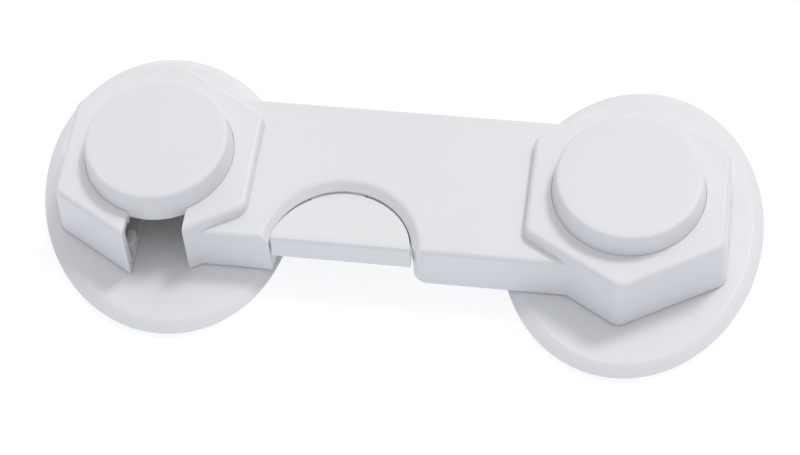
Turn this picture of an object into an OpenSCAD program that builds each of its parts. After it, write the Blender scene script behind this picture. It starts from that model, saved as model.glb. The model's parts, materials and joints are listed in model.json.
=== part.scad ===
// Cabinet safety lock: a moulded arm that swings on one base plate and hooks over a keeper on another.
// Frame: origin midway between the two posts on the mounting plane, +X towards the pivot, +Z up.

/* [Layout] */
// Distance from the keeper's axis to the pivot's axis
post_span = 105; // [98:1:120]
// Turn of the keeper's plate as it is stuck on, in degrees
left_plate_turn = 17; // [-30:1:30]
// Turn of the pivot's plate as it is stuck on, in degrees
right_plate_turn = -5; // [-30:1:30]
// Distance from the pivot's axis to the middle of its plate, away from the keeper
right_plate_shift = 1.3; // [0:0.1:3]

/* [Base plates] */
// Width of an oval plate, along the arm
plate_w = 58; // [54:1:66]
// Length of an oval plate, across the arm
plate_l = 76; // [70:1:90]
// Thickness of a plate at its middle
plate_t = 1.6; // [1.2:0.1:3]
// Thickness of a plate at its rim
plate_rim_t = 0.5; // [0.3:0.1:1]
// Width of the rounded rim
plate_bevel = 4; // [2:0.5:7]
// Thickness of the adhesive foam tape
tape_t = 0.8; // [0.5:0.1:1.5]
// Margin between the tape's edge and the plate's edge
tape_inset = 1.5; // [0.5:0.5:4]

/* [Arm] */
// Width of the bar's top face
bar_w = 37.2; // [35:0.2:40]
// Height of the bar
bar_h = 11.4; // [10.8:0.1:13]
// Centre to corner of a hexagonal head's top face
head_r = 25; // [24.6:0.1:28]
// Height of a head
head_h = 14.2; // [13.6:0.1:18]
// Wall thickness of the shell
wall = 2; // [1.6:0.1:2.3]
// How much further each side stands out at the foot of a head
draft = 1.1; // [0.4:0.1:1.5]
// Rounding of the upright corners
corner_r = 2.8; // [1:0.1:3.2]
// Rounding of the top edges
edge_r = 1; // [0.4:0.1:1.4]
// Thickness of the bottom cover
cover_t = 1.6; // [1.4:0.1:2]

/* [Notch and keeper] */
// Width of the notch in the left head's front corner
notch_w = 12.8; // [12.4:0.1:14]
// Distance from the keeper's axis to the middle of the notch, towards the pivot
notch_shift = 2.4; // [1.8:0.1:2.8]
// Width of the top face left between the notch and the button's hole
notch_rim = 1.3; // [1:0.1:2.4]
// Diameter of the keeper's head
keeper_head_d = 10; // [9:0.1:10.4]
// Thickness of the keeper's head
keeper_head_t = 2.8; // [2:0.1:3.2]
// Diameter of the keeper's neck
keeper_neck_d = 6; // [4:0.1:6.4]
// Height of the keeper's neck above the plate
keeper_neck_h = 5.8; // [5.4:0.1:6.2]

/* [Round button and cap] */
// Diameter where the button meets the head's top face
button_d = 33.6; // [32.6:0.2:34]
// Diameter of the button's top
button_top_d = 31.6; // [30:0.2:32.6]
// Height of the button above the head
button_rise = 5.6; // [4.4:0.1:8]
// Rounding of the button's top edge
button_edge_r = 0.9; // [0.6:0.1:2.4]
// Wall thickness of the button
button_wall = 1.8; // [1.4:0.1:2.2]
// Width of the flange that keeps the button in its hole
button_flange_w = 1; // [0.8:0.1:1.1]
// Thickness of that flange
button_flange_t = 1.2; // [1:0.1:1.3]
// Travel of the push button
button_travel = 3.3; // [2.6:0.1:3.4]

/* [Thumb pad] */
// Radius of the pad's round back
pad_r = 15.5; // [13:0.1:15.6]
// Distance from the keeper's axis to the middle of the pad
pad_from_keeper = 43.5; // [42:0.5:48]
// How far the centre of the round back lies in front of the bar
pad_sink = 0.8; // [0.4:0.1:2]
// Height of the pad's front face
pad_face_h = 6.2; // [5.5:0.1:6.8]
// Wall thickness of the pad
pad_wall = 1.8; // [1.4:0.1:2.2]
// Depth of the thumb pad's dished top at its round back
pad_dish = 2; // [1:0.1:2.1]
// Radius of the dish, whose axis lies along the arm
dish_r = 60; // [40:1:90]
// Flat strip between the pad's front face and its dish
dish_rim = 1.5; // [1.2:0.1:3]
// Wall thickness of the pocket round the pad
pocket_wall = 1.6; // [1.2:0.1:2]
// Width of the rounded rim round the pad
scoop_w = 2.1; // [1:0.1:3]
// Depth of that rounded rim
scoop_depth = 1.2; // [0.6:0.1:1.8]
// Rounding of the bar's corner beside the pad
lead_r = 4; // [2:0.5:5]
// Travel of the pad, and of the draw bar that it moves
pad_travel = 3; // [2.6:0.1:3.1]

/* [Catch and draw bar] */
// Thickness of the catch's spring leaf
catch_t = 0.8; // [0.5:0.1:1]
// Width of the leaf's tongue
catch_w = 9; // [7:0.5:9.5]
// Width of the C-shaped end of the leaf
catch_rim = 3.4; // [2.4:0.1:3.5]
// Thickness of the draw bar
draw_t = 3; // [2:0.1:3.2]
// Width of the draw bar's rail
rail_w = 3; // [2.4:0.1:3.4]
// Width of the pad's finger that drives the draw bar
finger_w = 12; // [11:0.5:12.5]
// Thickness of that finger, which is also the height of its ramp
finger_t = 2.7; // [2:0.1:2.9]
// Room between the rail and the bar's back wall
rail_from_wall = 5.3; // [2:0.1:6]

/* [Pivot] */
// Diameter of the pivot post
pivot_d = 10; // [8:0.1:11]
// Wall thickness of the pivot bush
bush_wall = 2; // [1.4:0.1:2.4]
// Wall thickness of the cover's hub round the bush
hub_wall = 2.6; // [2:0.1:3]
// Height of the hub above the arm's underside
hub_h = 7.9; // [7:0.1:9]

/* [Springs] */
// Mean radius of the button's spring
button_coil_r = 5.5; // [4.5:0.1:5.8]
// Wire of the button's spring
button_wire = 0.8; // [0.5:0.1:0.9]
// Mean radius of the two small springs
small_coil_r = 1.8; // [1.5:0.1:1.9]
// Wire of the two small springs
small_wire = 0.45; // [0.3:0.05:0.5]
// Turns of the button's spring
button_turns = 4; // [3:1:5]
// Turns of the pad's spring
pad_turns = 3; // [2:1:4]
// Turns of the draw bar's spring
draw_turns = 6; // [4:1:8]

/* [Fits] */
// Running gap between a plate and the arm above it
run_gap = 0.3; // [0.25:0.05:0.5]
// Gap round the push button
button_gap = 0.2; // [0.15:0.05:0.5]
// Gap round the thumb pad
pad_gap = 0.4; // [0.3:0.05:0.5]
// Gap between sliding faces
slide_gap = 0.3; // [0.25:0.05:0.4]
// Gap between the cover and the shell
cover_gap = 0.15; // [0.1:0.05:0.2]
// Radial clearance of the pivot
pivot_clear = 0.05; // [0.02:0.01:0.1]
// Radial clearance of pressed and screwed pieces
snug = 0.02; // [0.01:0.01:0.05]
// Radial clearance of the holes that screws pass through
screw_clear = 0.1; // [0.05:0.05:0.15]

/* [Hidden] */
$fn = 96;
shell_white = [0.90, 0.91, 0.92];
tape_white = [0.97, 0.97, 0.95];
acetal = [0.94, 0.93, 0.88];
steel = [0.72, 0.73, 0.75];
over = 1;
corner_step = 10;
oval_facets = 72;

// Places of the two posts
keeper_x = -post_span / 2;
pivot_x = post_span / 2;
right_plate_x = pivot_x + right_plate_shift;

// Heights, from the mounting plane up
plate_top = tape_t + plate_t;
arm_z = plate_top + run_gap;
cover_top = arm_z + cover_t;
bar_top = arm_z + bar_h;
bar_ceiling = bar_top - wall;
head_top = arm_z + head_h;
head_ceiling = head_top - wall;
button_top = head_top + button_rise;
button_ceiling = button_top - button_wall;

// Slope of the drafted walls and the sizes that follow from it
draft_slope = draft / head_h;
draft_angle = atan(draft_slope);
half_side = 30;
flat_to_corner = 1 / cos(half_side);
function stand_out(z, top) = draft_slope * (top - z);
function head_r_at(z) = head_r + stand_out(z, head_top) * flat_to_corner;
function bar_half_at(z) = bar_w / 2 + stand_out(z, bar_top);

// Button and cap
button_r = button_d / 2;
button_hole_r = button_r + button_gap;
flange_r = button_hole_r + button_flange_w;
skirt_r = button_r - button_wall;
boss_gap = 0.3;

// Keeper, the catch round it and what stands over them
keeper_head_z = plate_top + keeper_neck_h;
keeper_top = keeper_head_z + keeper_head_t;
keeper_shoulder = 0.6;
keeper_spigot_r = keeper_neck_d / 2 - keeper_shoulder;
keeper_edge_r = 0.8;
neck_gap = 0.6;
slot_gap = 1.5;
slot_end = keeper_neck_d / 2 + slot_gap;
catch_z = keeper_head_z + (keeper_head_t - catch_t) / 2;
catch_top = catch_z + catch_t;
catch_ring_gap = 1.2;
catch_ring_r = keeper_head_d / 2 + catch_ring_gap;
catch_ring_out = catch_ring_r + catch_rim;
catch_mouth = keeper_neck_d / 2 + neck_gap;
clamp_t = 1;
seat_lift = 0.8;
seat_z = keeper_top + seat_lift;
seat_t = 1.2;
seat_top = seat_z + seat_t;
seat_side_gap = 1.4;
seat_r = skirt_r - seat_side_gap;
seat_post_r = 1.9;
seat_post_out = 0.3;
seat_post_ring = seat_r - seat_post_r + seat_post_out;
seat_post_angles = [75, 140, 225];
seat_post_places = [for (a = seat_post_angles)
    [keeper_x + seat_post_ring * cos(a), seat_post_ring * sin(a)]];

// Legs of the button, and the shoulders that stop them on the seat
leg_gap = 0.8;
leg_in = catch_ring_r + leg_gap;
leg_t = 2;
leg_w = 8;
leg_slot_gap = 0.4;
shoulder_reach = 1;
shoulder_w = leg_w + 2 * (leg_slot_gap + shoulder_reach);
stop_clear = 0.1;
shoulder_z = seat_top + button_travel + stop_clear;

// Notch
notch_x0 = keeper_x + notch_shift - notch_w / 2;
notch_x1 = notch_x0 + notch_w;
notch_back = button_hole_r + notch_rim;
notch_clear = 0.3;
notch_inner = head_r_at(head_ceiling) - wall * flat_to_corner
    - (notch_x1 - keeper_x) * tan(half_side) - notch_clear;
channel_wall = 1.4;
channel_set_back = 6;
channel_catch_gap = 5.8;
channel_y0 = -head_r + channel_set_back;
channel_y1 = -catch_ring_out - channel_catch_gap;
channel_top = keeper_head_z - slide_gap;

// Rail of the draw bar, which the finger reaches up to
rail_y1 = bar_w / 2 - wall - rail_from_wall;
rail_y0 = rail_y1 - rail_w;

// Thumb pad, pocket and finger
pad_x = keeper_x + pad_from_keeper;
pad_y = -bar_w / 2 - pad_sink;
pad_set_back = 0.2;
pad_drop = 0.1;
pad_top = bar_top - pad_drop;
pocket_r = pad_r + pad_gap;
pocket_out = pocket_r + pocket_wall;
lead_bite = 0.05;
scoop_bite = 0.06;
finger_shift = 2.5;
finger_x0 = pad_x - finger_shift - finger_w / 2;
finger_x1 = finger_x0 + finger_w;
finger_root = norm_side(pad_r - pad_wall / 2, finger_shift + finger_w / 2);
finger_y0 = pad_y + finger_root;
finger_y1 = rail_y0 - slide_gap;
finger_roof_gap = 0.2;
finger_top = bar_ceiling - finger_roof_gap;
finger_z = finger_top - finger_t;
function norm_side(long, side) = sqrt(long * long - side * side);

// Fixed end of the catch, on a boss just left of the finger
catch_root_gap = 1.5;
catch_root_x = finger_x0 - catch_root_gap;
catch_screw_inset = 3;
catch_screw_pitch = 5;
catch_boss_l = catch_screw_pitch + 2 * catch_screw_inset;
catch_boss_w = 8;
catch_boss_x0 = catch_root_x - catch_boss_l;
catch_screw_xs = [catch_root_x - catch_screw_inset, catch_boss_x0 + catch_screw_inset];

// Draw bar
draw_z = cover_top + slide_gap;
draw_top = draw_z + draw_t;
tongue_gap = 2.5;
prong_y0 = catch_w / 2 + tongue_gap;
prong_top = catch_z - slide_gap;
ear_l = 3;
ear_gap = 3.4;
ear_inset = 0.5;
ear_x1 = keeper_x + catch_ring_out + ear_gap;
ear_x0 = ear_x1 - ear_l;
prong_x0 = ear_x1 - pad_travel + slide_gap;
prong_reach = 3.7;
cross_x0 = prong_x0 + prong_reach;
cross_l = 3.3;
cross_x1 = cross_x0 + cross_l;
ramp_gap = 0.4;
ramp_x = finger_x1 + ramp_gap;
nose_drop = 0.4;
nose_top = finger_top - nose_drop;
nose_l = 4;
nose_x1 = ramp_x + nose_l;
nose_w = 7;
stop_gap = 9.4;
stop_x = nose_x1 + stop_gap;
stop_t = 1.6;
guide_t = 1.2;
rib_t = 1.6;
rib_pitch = 8;
draw_spring_y = rail_y1 - nose_w / 2;
draw_spring_z = draw_z + small_coil_r + small_wire;
pad_spring_side = 0.7;
pad_spring_end = 1.2;
pad_spring_x = finger_x0 + small_coil_r + pad_spring_side;
pad_spring_y = finger_y1 - small_coil_r - pad_spring_end;

// Pivot
pivot_r = pivot_d / 2;
bush_r = pivot_r + pivot_clear;
bush_out = bush_r + bush_wall;
hub_r = bush_out + snug;
hub_out = hub_r + hub_wall;
hub_top = arm_z + hub_h;
bush_flange_t = 0.7;
bush_flange_inset = 0.8;
bush_flange_r = hub_out - bush_flange_inset;
post_top = hub_top + bush_flange_t + slide_gap;
pivot_washer_t = 1;
thrust_clear = 0.05;
thrust_washer_t = run_gap - thrust_clear;

// Screws
cover_screw_r = 1;
cover_screw_head_r = 2;
cover_screw_l = 8;
boss_r = 2.1;
boss_ring = flange_r + boss_gap + boss_r;
small_screw_r = 0.9;
small_screw_head_r = 1.7;
small_screw_head_h = 1;
small_screw_l = 4.5;
pivot_screw_r = 1.5;
pivot_screw_head_r = 3;
pivot_screw_head_h = 2;
pivot_screw_l = 8;
bar_boss_gap = 1.5;
bar_boss_x = (pad_x + pocket_r + lead_r + wall + pivot_x - flange_r) / 2;
bar_boss_y = bar_w / 2 - wall - boss_r - bar_boss_gap;
boss_places = concat(
    [for (a = [90, 150, 210]) [keeper_x + boss_ring * cos(a), boss_ring * sin(a), head_ceiling]],
    [for (a = [90, 30, -90]) [pivot_x + boss_ring * cos(a), boss_ring * sin(a), head_ceiling]],
    [for (s = [-1, 1]) [bar_boss_x, s * bar_boss_y, bar_ceiling]]
);

// Levels of a form whose top edge is rounded: pairs of height and inset
function rounded_edge(top, r) = [for (a = [0:30:90]) [top - r + r * sin(a), r - r * cos(a)]];

// Rings of points that the lofted forms run through, each counter-clockwise seen from above
function oval_ring(inset, z) = [for (i = [0:oval_facets - 1])
    let (a = 360 * i / oval_facets)
        [(plate_w / 2 - inset) * cos(a), (plate_l / 2 - inset) * sin(a), z]];

function head_ring(inset, z) =
    let (r = head_r_at(z) - (inset + corner_r) * flat_to_corner)
        [for (i = [0:5], turn = [-half_side:corner_step:half_side])
            let (a = half_side * (1 + 2 * i))
                [r * cos(a) + corner_r * cos(a + turn), r * sin(a) + corner_r * sin(a + turn), z]];

function bar_ring(inset, z) =
    let (half = bar_half_at(z) - inset)
        [[keeper_x, -half, z], [pivot_x, -half, z], [pivot_x, half, z], [keeper_x, half, z]];

// Closed solid through a stack of rings that have equal counts of points
module loft(rings) {
    n = len(rings[0]);
    last = n * (len(rings) - 1);
    sides = [for (j = [0:len(rings) - 2], i = [0:n - 1])
        let (a = j * n + i, b = j * n + (i + 1) % n)
            each [[a, a + n, b + n], [a, b + n, b]]];
    foot = [for (i = [1:n - 2]) [0, i, i + 1]];
    top = [for (i = [1:n - 2]) [last, last + i + 1, last + i]];
    polyhedron([for (ring = rings) each ring], concat(sides, foot, top));
}

// Hexagonal head with drafted walls and corners to +Y and -Y; inset moves the walls in
module head_form(x, foot, top, inset, edge) {
    levels = concat([[foot, 0]], rounded_edge(top, edge));
    translate([x, 0, 0])
        loft([for (level = levels) head_ring(inset + level[1], level[0])]);
}

// Bar between the two posts with drafted front and back
module bar_form(foot, top, inset, edge) {
    levels = concat([[foot, 0]], rounded_edge(top, edge));
    loft([for (level = levels) bar_ring(inset + level[1], level[0])]);
}

// Upright cylinder or cut at a place
module post_at(x, y, z0, z1, r) {
    translate([x, y, z0]) cylinder(r = r, h = z1 - z0);
}

// Box from one corner to the other
module block(low, high) {
    translate(low) cube(high - low);
}

// Everything behind the bar's drafted front face, moved back by a set distance
module behind_front(set_back) {
    reach = 2 * post_span;
    translate([-reach / 2, -bar_w / 2 + set_back, bar_top])
        rotate([-draft_angle, 0, 0])
            translate([0, 0, -reach / 2])
                cube([reach, reach, reach]);
}

// Oval of the plates, turned as it is stuck on, through levels given as pairs of height and inset
module oval_form(x, turn, levels) {
    translate([x, 0, 0])
        rotate(turn)
            loft([for (level = levels) oval_ring(level[1], level[0])]);
}

// Base plate with a flat middle and a rounded rim
module base_plate(x, turn) {
    rim = [for (a = [0:22.5:90])
        [tape_t + plate_rim_t + (plate_t - plate_rim_t) * sin(a), plate_bevel * (1 - cos(a))]];
    oval_form(x, turn, concat([[tape_t, 0]], rim));
}

module adhesive_pad(x, turn) {
    oval_form(x, turn, [[0, tape_inset], [tape_t, tape_inset]]);
}

module left_base_plate() {
    color(shell_white)
        difference() {
            base_plate(keeper_x, left_plate_turn);
            post_at(keeper_x, 0, tape_t - over, plate_top + over, keeper_spigot_r + snug);
        }
}

module right_base_plate() {
    color(shell_white)
        difference() {
            union() {
                base_plate(right_plate_x, right_plate_turn);
                post_at(pivot_x, 0, plate_top - plate_t / 2, post_top, pivot_r);
            }
            post_at(pivot_x, 0, post_top - pivot_screw_l, post_top + over, pivot_screw_r + snug);
        }
}

module left_adhesive_pad() {
    color(tape_white) adhesive_pad(keeper_x, left_plate_turn);
}

module right_adhesive_pad() {
    color(tape_white) adhesive_pad(right_plate_x, right_plate_turn);
}

// Mushroom pin: spigot in the plate, slim neck, wide head with a rounded top edge
module keeper_pin() {
    head_edge = keeper_head_d / 2;
    rim = [for (a = [0:15:90])
        [head_edge - keeper_edge_r + keeper_edge_r * cos(a),
         keeper_top - keeper_edge_r + keeper_edge_r * sin(a)]];
    color(acetal)
        translate([keeper_x, 0, 0])
            rotate_extrude()
                polygon(concat(
                    [[0, tape_t], [keeper_spigot_r, tape_t], [keeper_spigot_r, plate_top],
                     [keeper_neck_d / 2, plate_top], [keeper_neck_d / 2, keeper_head_z],
                     [head_edge, keeper_head_z]],
                    rim, [[0, keeper_top]]));
}

module thrust_washer() {
    color(acetal)
        difference() {
            post_at(pivot_x, 0, plate_top, plate_top + thrust_washer_t, hub_out);
            post_at(pivot_x, 0, plate_top - over, plate_top + over, pivot_r + slide_gap);
        }
}

module pivot_washer() {
    color(steel)
        difference() {
            post_at(pivot_x, 0, post_top, post_top + pivot_washer_t, bush_flange_r);
            post_at(pivot_x, 0, post_top - over, post_top + pivot_washer_t + over,
                    pivot_screw_r + screw_clear);
        }
}

// Round-headed screw standing on z, shank downwards
module pan_screw(r, head_r, head_h, length) {
    translate([0, 0, -length]) cylinder(r = r, h = length + head_h / 2);
    rotate_extrude()
        intersection() {
            square([head_r, head_h]);
            translate([0, -head_r]) circle(r = norm([head_r, head_r]));
        }
}

// Countersunk screw with its flat head at z and its shank upwards
module sunk_screw(r, head_r, length) {
    rotate_extrude()
        polygon([[0, 0], [head_r, 0], [r, head_r - r], [r, length], [0, length]]);
}

// Cut for such a screw through a plate
module sunk_hole(r, head_r, depth) {
    rotate_extrude()
        polygon([[0, -over], [head_r, -over], [head_r, 0], [r, head_r - r],
                 [r, depth + over], [0, depth + over]]);
}

module pivot_screw() {
    color(steel)
        translate([pivot_x, 0, post_top + pivot_washer_t])
            pan_screw(pivot_screw_r, pivot_screw_head_r, pivot_screw_head_h,
                      pivot_screw_l + pivot_washer_t - slide_gap);
}

// Outside of the arm, and the hollow inside it
module arm_outside() {
    head_form(keeper_x, arm_z, head_top, 0, edge_r);
    head_form(pivot_x, arm_z, head_top, 0, edge_r);
    bar_form(arm_z, bar_top, 0, edge_r);
}

module arm_hollow() {
    head_form(keeper_x, arm_z - over, head_ceiling, wall, edge_r / 2);
    head_form(pivot_x, arm_z - over, head_ceiling, wall, edge_r / 2);
    bar_form(arm_z - over, bar_ceiling, wall, edge_r / 2);
}

// Round wall of the pocket and the solid corner beside it
module pocket_wall_form() {
    intersection() {
        post_at(pad_x, pad_y, arm_z, bar_ceiling + wall / 2, pocket_out);
        block([pad_x - 2 * pocket_out, -bar_w / 2, 0], [pad_x + 2 * pocket_out, bar_w, bar_top]);
    }
    corner_x = pad_x + pocket_r;
    block([corner_x - pocket_wall, -bar_w / 2, arm_z],
          [corner_x + lead_r + wall, -bar_w / 2 + lead_r + wall, bar_ceiling + wall / 2]);
}

// Cutter that rounds the bar's upright corner at the pocket's right end, crossing both faces it blends
module lead_cut() {
    front = -bar_w / 2;
    centre_y = front + lead_r - lead_bite;
    reach = pocket_r + lead_r - lead_bite;
    centre_x = pad_x + sqrt(reach * reach - (centre_y - pad_y) * (centre_y - pad_y));
    touch = [pad_x, pad_y] + ([centre_x, centre_y] - [pad_x, pad_y]) * pocket_r / reach;
    translate([0, front, bar_top])
        rotate([-draft_angle, 0, 0])
            translate([0, -front, -2 * bar_h])
                linear_extrude(4 * bar_h)
                    difference() {
                        polygon([touch, [centre_x, centre_y], [centre_x, front - over],
                                 [touch[0] - over, front - over]]);
                        translate([centre_x, centre_y]) circle(r = lead_r);
                    }
}

// Cut that rounds the pocket's upper edge over into the bar's top, a little below it where it runs out
module scoop_cut() {
    out = pocket_r + scoop_w;
    edge = bar_top - scoop_bite;
    round_over = [for (a = [0:15:90]) [out - scoop_w * cos(a), edge - scoop_depth * (1 - sin(a))]];
    translate([pad_x, pad_y, 0])
        rotate_extrude()
            polygon(concat([[0, edge - scoop_depth]], round_over,
                           [[out + scoop_bite, bar_top + over], [0, bar_top + over]]));
}

// Way through the pocket's wall for the pad's finger
module finger_window() {
    block([finger_x0 - pad_gap, pad_y + pad_r / 2, finger_z - pad_travel - pad_gap],
          [finger_x1 + pad_gap, pad_y + pocket_out + over, bar_ceiling]);
}

// Ribs under the bar's top that keep the draw bar down
module hold_down_ribs() {
    for (x = [catch_root_x - rib_pitch, catch_root_x])
        block([x, rail_y0, draw_top + slide_gap], [x + rib_t, rail_y1, bar_ceiling + wall / 2]);
}

module arm_top_shell() {
    color(shell_white)
        difference() {
            union() {
                difference() {
                    arm_outside();
                    arm_hollow();
                }
                pocket_wall_form();
                hold_down_ribs();
                for (p = boss_places)
                    post_at(p[0], p[1], cover_top, p[2] + wall / 2, boss_r);
            }
            post_at(pad_x, pad_y, 0, head_top, pocket_r);
            scoop_cut();
            lead_cut();
            finger_window();
            for (x = [keeper_x, pivot_x])
                post_at(x, 0, head_ceiling - over, head_top + over, button_hole_r);
            block([notch_x0, -2 * head_r, 0], [notch_x1, -notch_back, head_top + over]);
            block([notch_x0, -2 * head_r, 0], [notch_x1, -notch_inner, head_ceiling]);
            for (p = boss_places)
                post_at(p[0], p[1], 0, arm_z + cover_screw_l + slide_gap, cover_screw_r + snug);
        }
}

// Flat outline of the cover, clear of the shell's inside
module cover_outline() {
    inset = wall + cover_gap;
    r = head_r_at(cover_top) - inset * flat_to_corner;
    half = bar_half_at(cover_top) - inset;
    for (x = [keeper_x, pivot_x])
        translate([x, 0])
            intersection() {
                rotate(half_side) circle(r = r, $fn = 6);
                circle(r = r - corner_r * (flat_to_corner - 1));
            }
    translate([keeper_x, -half]) square([post_span, 2 * half]);
}

// Posts, hub, ribs and walls that stand on the cover
module cover_fittings() {
    guide_y = rail_y1 + slide_gap;
    for (p = seat_post_places)
        post_at(p[0], p[1], arm_z, seat_z, seat_post_r);
    post_at(pivot_x, 0, arm_z, hub_top, hub_out);
    block([catch_boss_x0, -catch_boss_w / 2, arm_z], [catch_root_x, catch_boss_w / 2, catch_z]);
    block([cross_x0, guide_y, arm_z], [nose_x1, guide_y + guide_t, draw_top]);
    block([stop_x, rail_y1 - nose_w, arm_z], [stop_x + stop_t, rail_y1, nose_top]);
    for (x = [notch_x0 - channel_wall, notch_x1])
        block([x, channel_y0, arm_z], [x + channel_wall, channel_y1, channel_top]);
}

module arm_bottom_cover() {
    color(shell_white)
        difference() {
            union() {
                translate([0, 0, arm_z]) linear_extrude(cover_t) cover_outline();
                cover_fittings();
            }
            post_at(pad_x, pad_y, 0, head_top, pocket_out + cover_gap);
            block([pad_x, -bar_w, 0],
                  [pad_x + pocket_r + lead_r + wall + cover_gap,
                   -bar_w / 2 + lead_r + wall + cover_gap, cover_top + over]);
            block([notch_x0, -2 * head_r, 0], [notch_x1, 0, channel_top]);
            for (x = [notch_x0 + slot_end, notch_x1 - slot_end])
                post_at(x, 0, 0, cover_top + over, slot_end);
            block([notch_x0 + slot_end, -over, 0], [notch_x1 - slot_end, slot_end, cover_top + over]);
            post_at(pivot_x, 0, 0, hub_top + over, hub_r);
            for (p = boss_places)
                translate([p[0], p[1], arm_z])
                    sunk_hole(cover_screw_r + snug, cover_screw_head_r + snug, cover_t);
            for (p = seat_post_places)
                post_at(p[0], p[1], seat_z - small_screw_l, seat_z + over, small_screw_r + snug);
            for (x = catch_screw_xs)
                post_at(x, 0, catch_z - small_screw_l, catch_z + over, small_screw_r + snug);
        }
}

module cover_screws() {
    color(steel)
        for (p = boss_places)
            translate([p[0], p[1], arm_z]) sunk_screw(cover_screw_r, cover_screw_head_r, cover_screw_l);
}

module pivot_bush() {
    color(acetal)
        difference() {
            union() {
                post_at(pivot_x, 0, arm_z, hub_top, bush_out);
                post_at(pivot_x, 0, hub_top, hub_top + bush_flange_t, bush_flange_r);
            }
            post_at(pivot_x, 0, 0, post_top, bush_r);
        }
}

// Section of the round button: crown, skirt through the hole and flange under the head's top
module button_section() {
    top_r = button_top_d / 2;
    crown = [for (a = [0:15:90])
        [top_r - button_edge_r + button_edge_r * cos(a),
         button_top - button_edge_r + button_edge_r * sin(a)]];
    foot = head_ceiling - button_flange_t;
    polygon(concat(
        [[0, button_ceiling], [skirt_r - button_edge_r, button_ceiling],
         [skirt_r, head_top], [skirt_r, foot], [flange_r, foot], [flange_r, head_ceiling],
         [button_r, head_ceiling], [button_r, head_top]],
        crown, [[0, button_top]]));
}

module pivot_cap() {
    color(shell_white)
        translate([pivot_x, 0, 0]) {
            rotate_extrude() button_section();
            difference() {
                post_at(0, 0, cover_top, head_top, button_r);
                post_at(0, 0, 0, head_top + over, skirt_r);
            }
        }
}

// Places of the button's two legs, which straddle the keeper
module leg_places() {
    for (s = [-1, 1])
        translate([keeper_x + s * (leg_in + leg_t / 2), 0, 0]) children();
}

// Round button whose flange leaves the keeper's way out open, with two legs for the catch
module push_button() {
    color(shell_white) {
        difference() {
            translate([keeper_x, 0, 0]) rotate_extrude() button_section();
            block([notch_x0, -2 * head_r, 0], [notch_x1, -seat_r, head_ceiling]);
        }
        leg_places() {
            block([-leg_t / 2, -leg_w / 2, catch_top + slide_gap],
                  [leg_t / 2, leg_w / 2, button_ceiling + slide_gap]);
            block([-leg_t / 2, -shoulder_w / 2, shoulder_z],
                  [leg_t / 2, shoulder_w / 2, button_ceiling + slide_gap]);
        }
    }
}

module spring_seat() {
    slot = [leg_t / 2 + leg_slot_gap, leg_w / 2 + leg_slot_gap];
    color(acetal)
        difference() {
            post_at(keeper_x, 0, seat_z, seat_top, seat_r);
            leg_places()
                block([-slot[0], -slot[1], seat_z - over], [slot[0], slot[1], seat_top + over]);
            for (p = seat_post_places)
                post_at(p[0], p[1], seat_z - over, seat_top + over, small_screw_r + screw_clear);
        }
}

module seat_screws() {
    color(steel)
        for (p = seat_post_places)
            translate([p[0], p[1], seat_top])
                pan_screw(small_screw_r, small_screw_head_r, small_screw_head_h,
                          small_screw_l + seat_t - slide_gap);
}

// Flat outline of the leaf: tongue, two ears and the C round the keeper
module catch_outline() {
    difference() {
        union() {
            translate([keeper_x, 0]) circle(r = catch_ring_out);
            translate([keeper_x, -catch_w / 2])
                square([catch_root_x - keeper_x, catch_w]);
            translate([ear_x0, ear_inset - rail_y1]) square([ear_l, 2 * (rail_y1 - ear_inset)]);
        }
        translate([keeper_x, 0]) circle(r = catch_ring_r);
        translate([keeper_x - catch_mouth, -2 * catch_ring_out])
            square([2 * catch_mouth, 2 * catch_ring_out]);
        for (x = catch_screw_xs)
            translate([x, 0]) circle(r = small_screw_r + screw_clear);
    }
}

module spring_catch() {
    color(steel)
        translate([0, 0, catch_z]) linear_extrude(catch_t) catch_outline();
}

// Clamp over the leaf's fixed end, with countersunk holes from above
module catch_clamp() {
    clamp_top = catch_top + clamp_t;
    color(steel)
        difference() {
            block([catch_boss_x0, -catch_boss_w / 2, catch_top], [catch_root_x, catch_boss_w / 2, clamp_top]);
            for (x = catch_screw_xs)
                translate([x, 0, clamp_top])
                    mirror([0, 0, 1])
                        sunk_hole(small_screw_r + screw_clear, small_screw_head_r + screw_clear, clamp_t);
        }
}

module catch_screws() {
    color(steel)
        for (x = catch_screw_xs)
            translate([x, 0, catch_top + clamp_t])
                mirror([0, 0, 1])
                    sunk_screw(small_screw_r, small_screw_head_r,
                               small_screw_l + catch_t + clamp_t - slide_gap);
}

// Compression spring from z = 0 up to its length, one unbroken wire
module coil(r, wire, length, turns) {
    rings_per_turn = 8;
    sides = 6;
    rings = rings_per_turn * turns;
    rise = length - wire;
    points = [for (i = [0:rings], k = [0:sides - 1])
        let (a = 360 * i / rings_per_turn, b = 360 * k / sides, out = r + wire / 2 * cos(b))
            [out * cos(a), out * sin(a), wire / 2 + rise * i / rings + wire / 2 * sin(b)]];
    sleeve = [for (i = [0:rings - 1], k = [0:sides - 1])
        let (a = i * sides + k, b = i * sides + (k + 1) % sides)
            each [[a, a + sides, b], [b, a + sides, b + sides]]];
    first_end = [for (k = [1:sides - 2]) [0, k, k + 1]];
    last = rings * sides;
    last_end = [for (k = [1:sides - 2]) [last, last + k + 1, last + k]];
    polyhedron(points, concat(sleeve, first_end, last_end));
}

module button_spring() {
    color(steel)
        translate([keeper_x, 0, seat_top])
            coil(button_coil_r, button_wire, button_ceiling - seat_top, button_turns);
}

// Roller that dishes the pad's top, level at the front strip and deepest at the round back
module pad_roller() {
    front_y = -bar_w / 2 + pad_set_back + dish_rim;
    run = pad_y + pad_r - front_y;
    chord = norm([run, pad_dish]);
    lift = sqrt(dish_r * dish_r - chord * chord / 4) / chord;
    translate([pad_x - pad_r - over, front_y + run / 2 + pad_dish * lift,
               pad_top - pad_dish / 2 + run * lift])
        rotate([0, 90, 0]) cylinder(r = dish_r, h = 2 * (pad_r + over));
}

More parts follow.
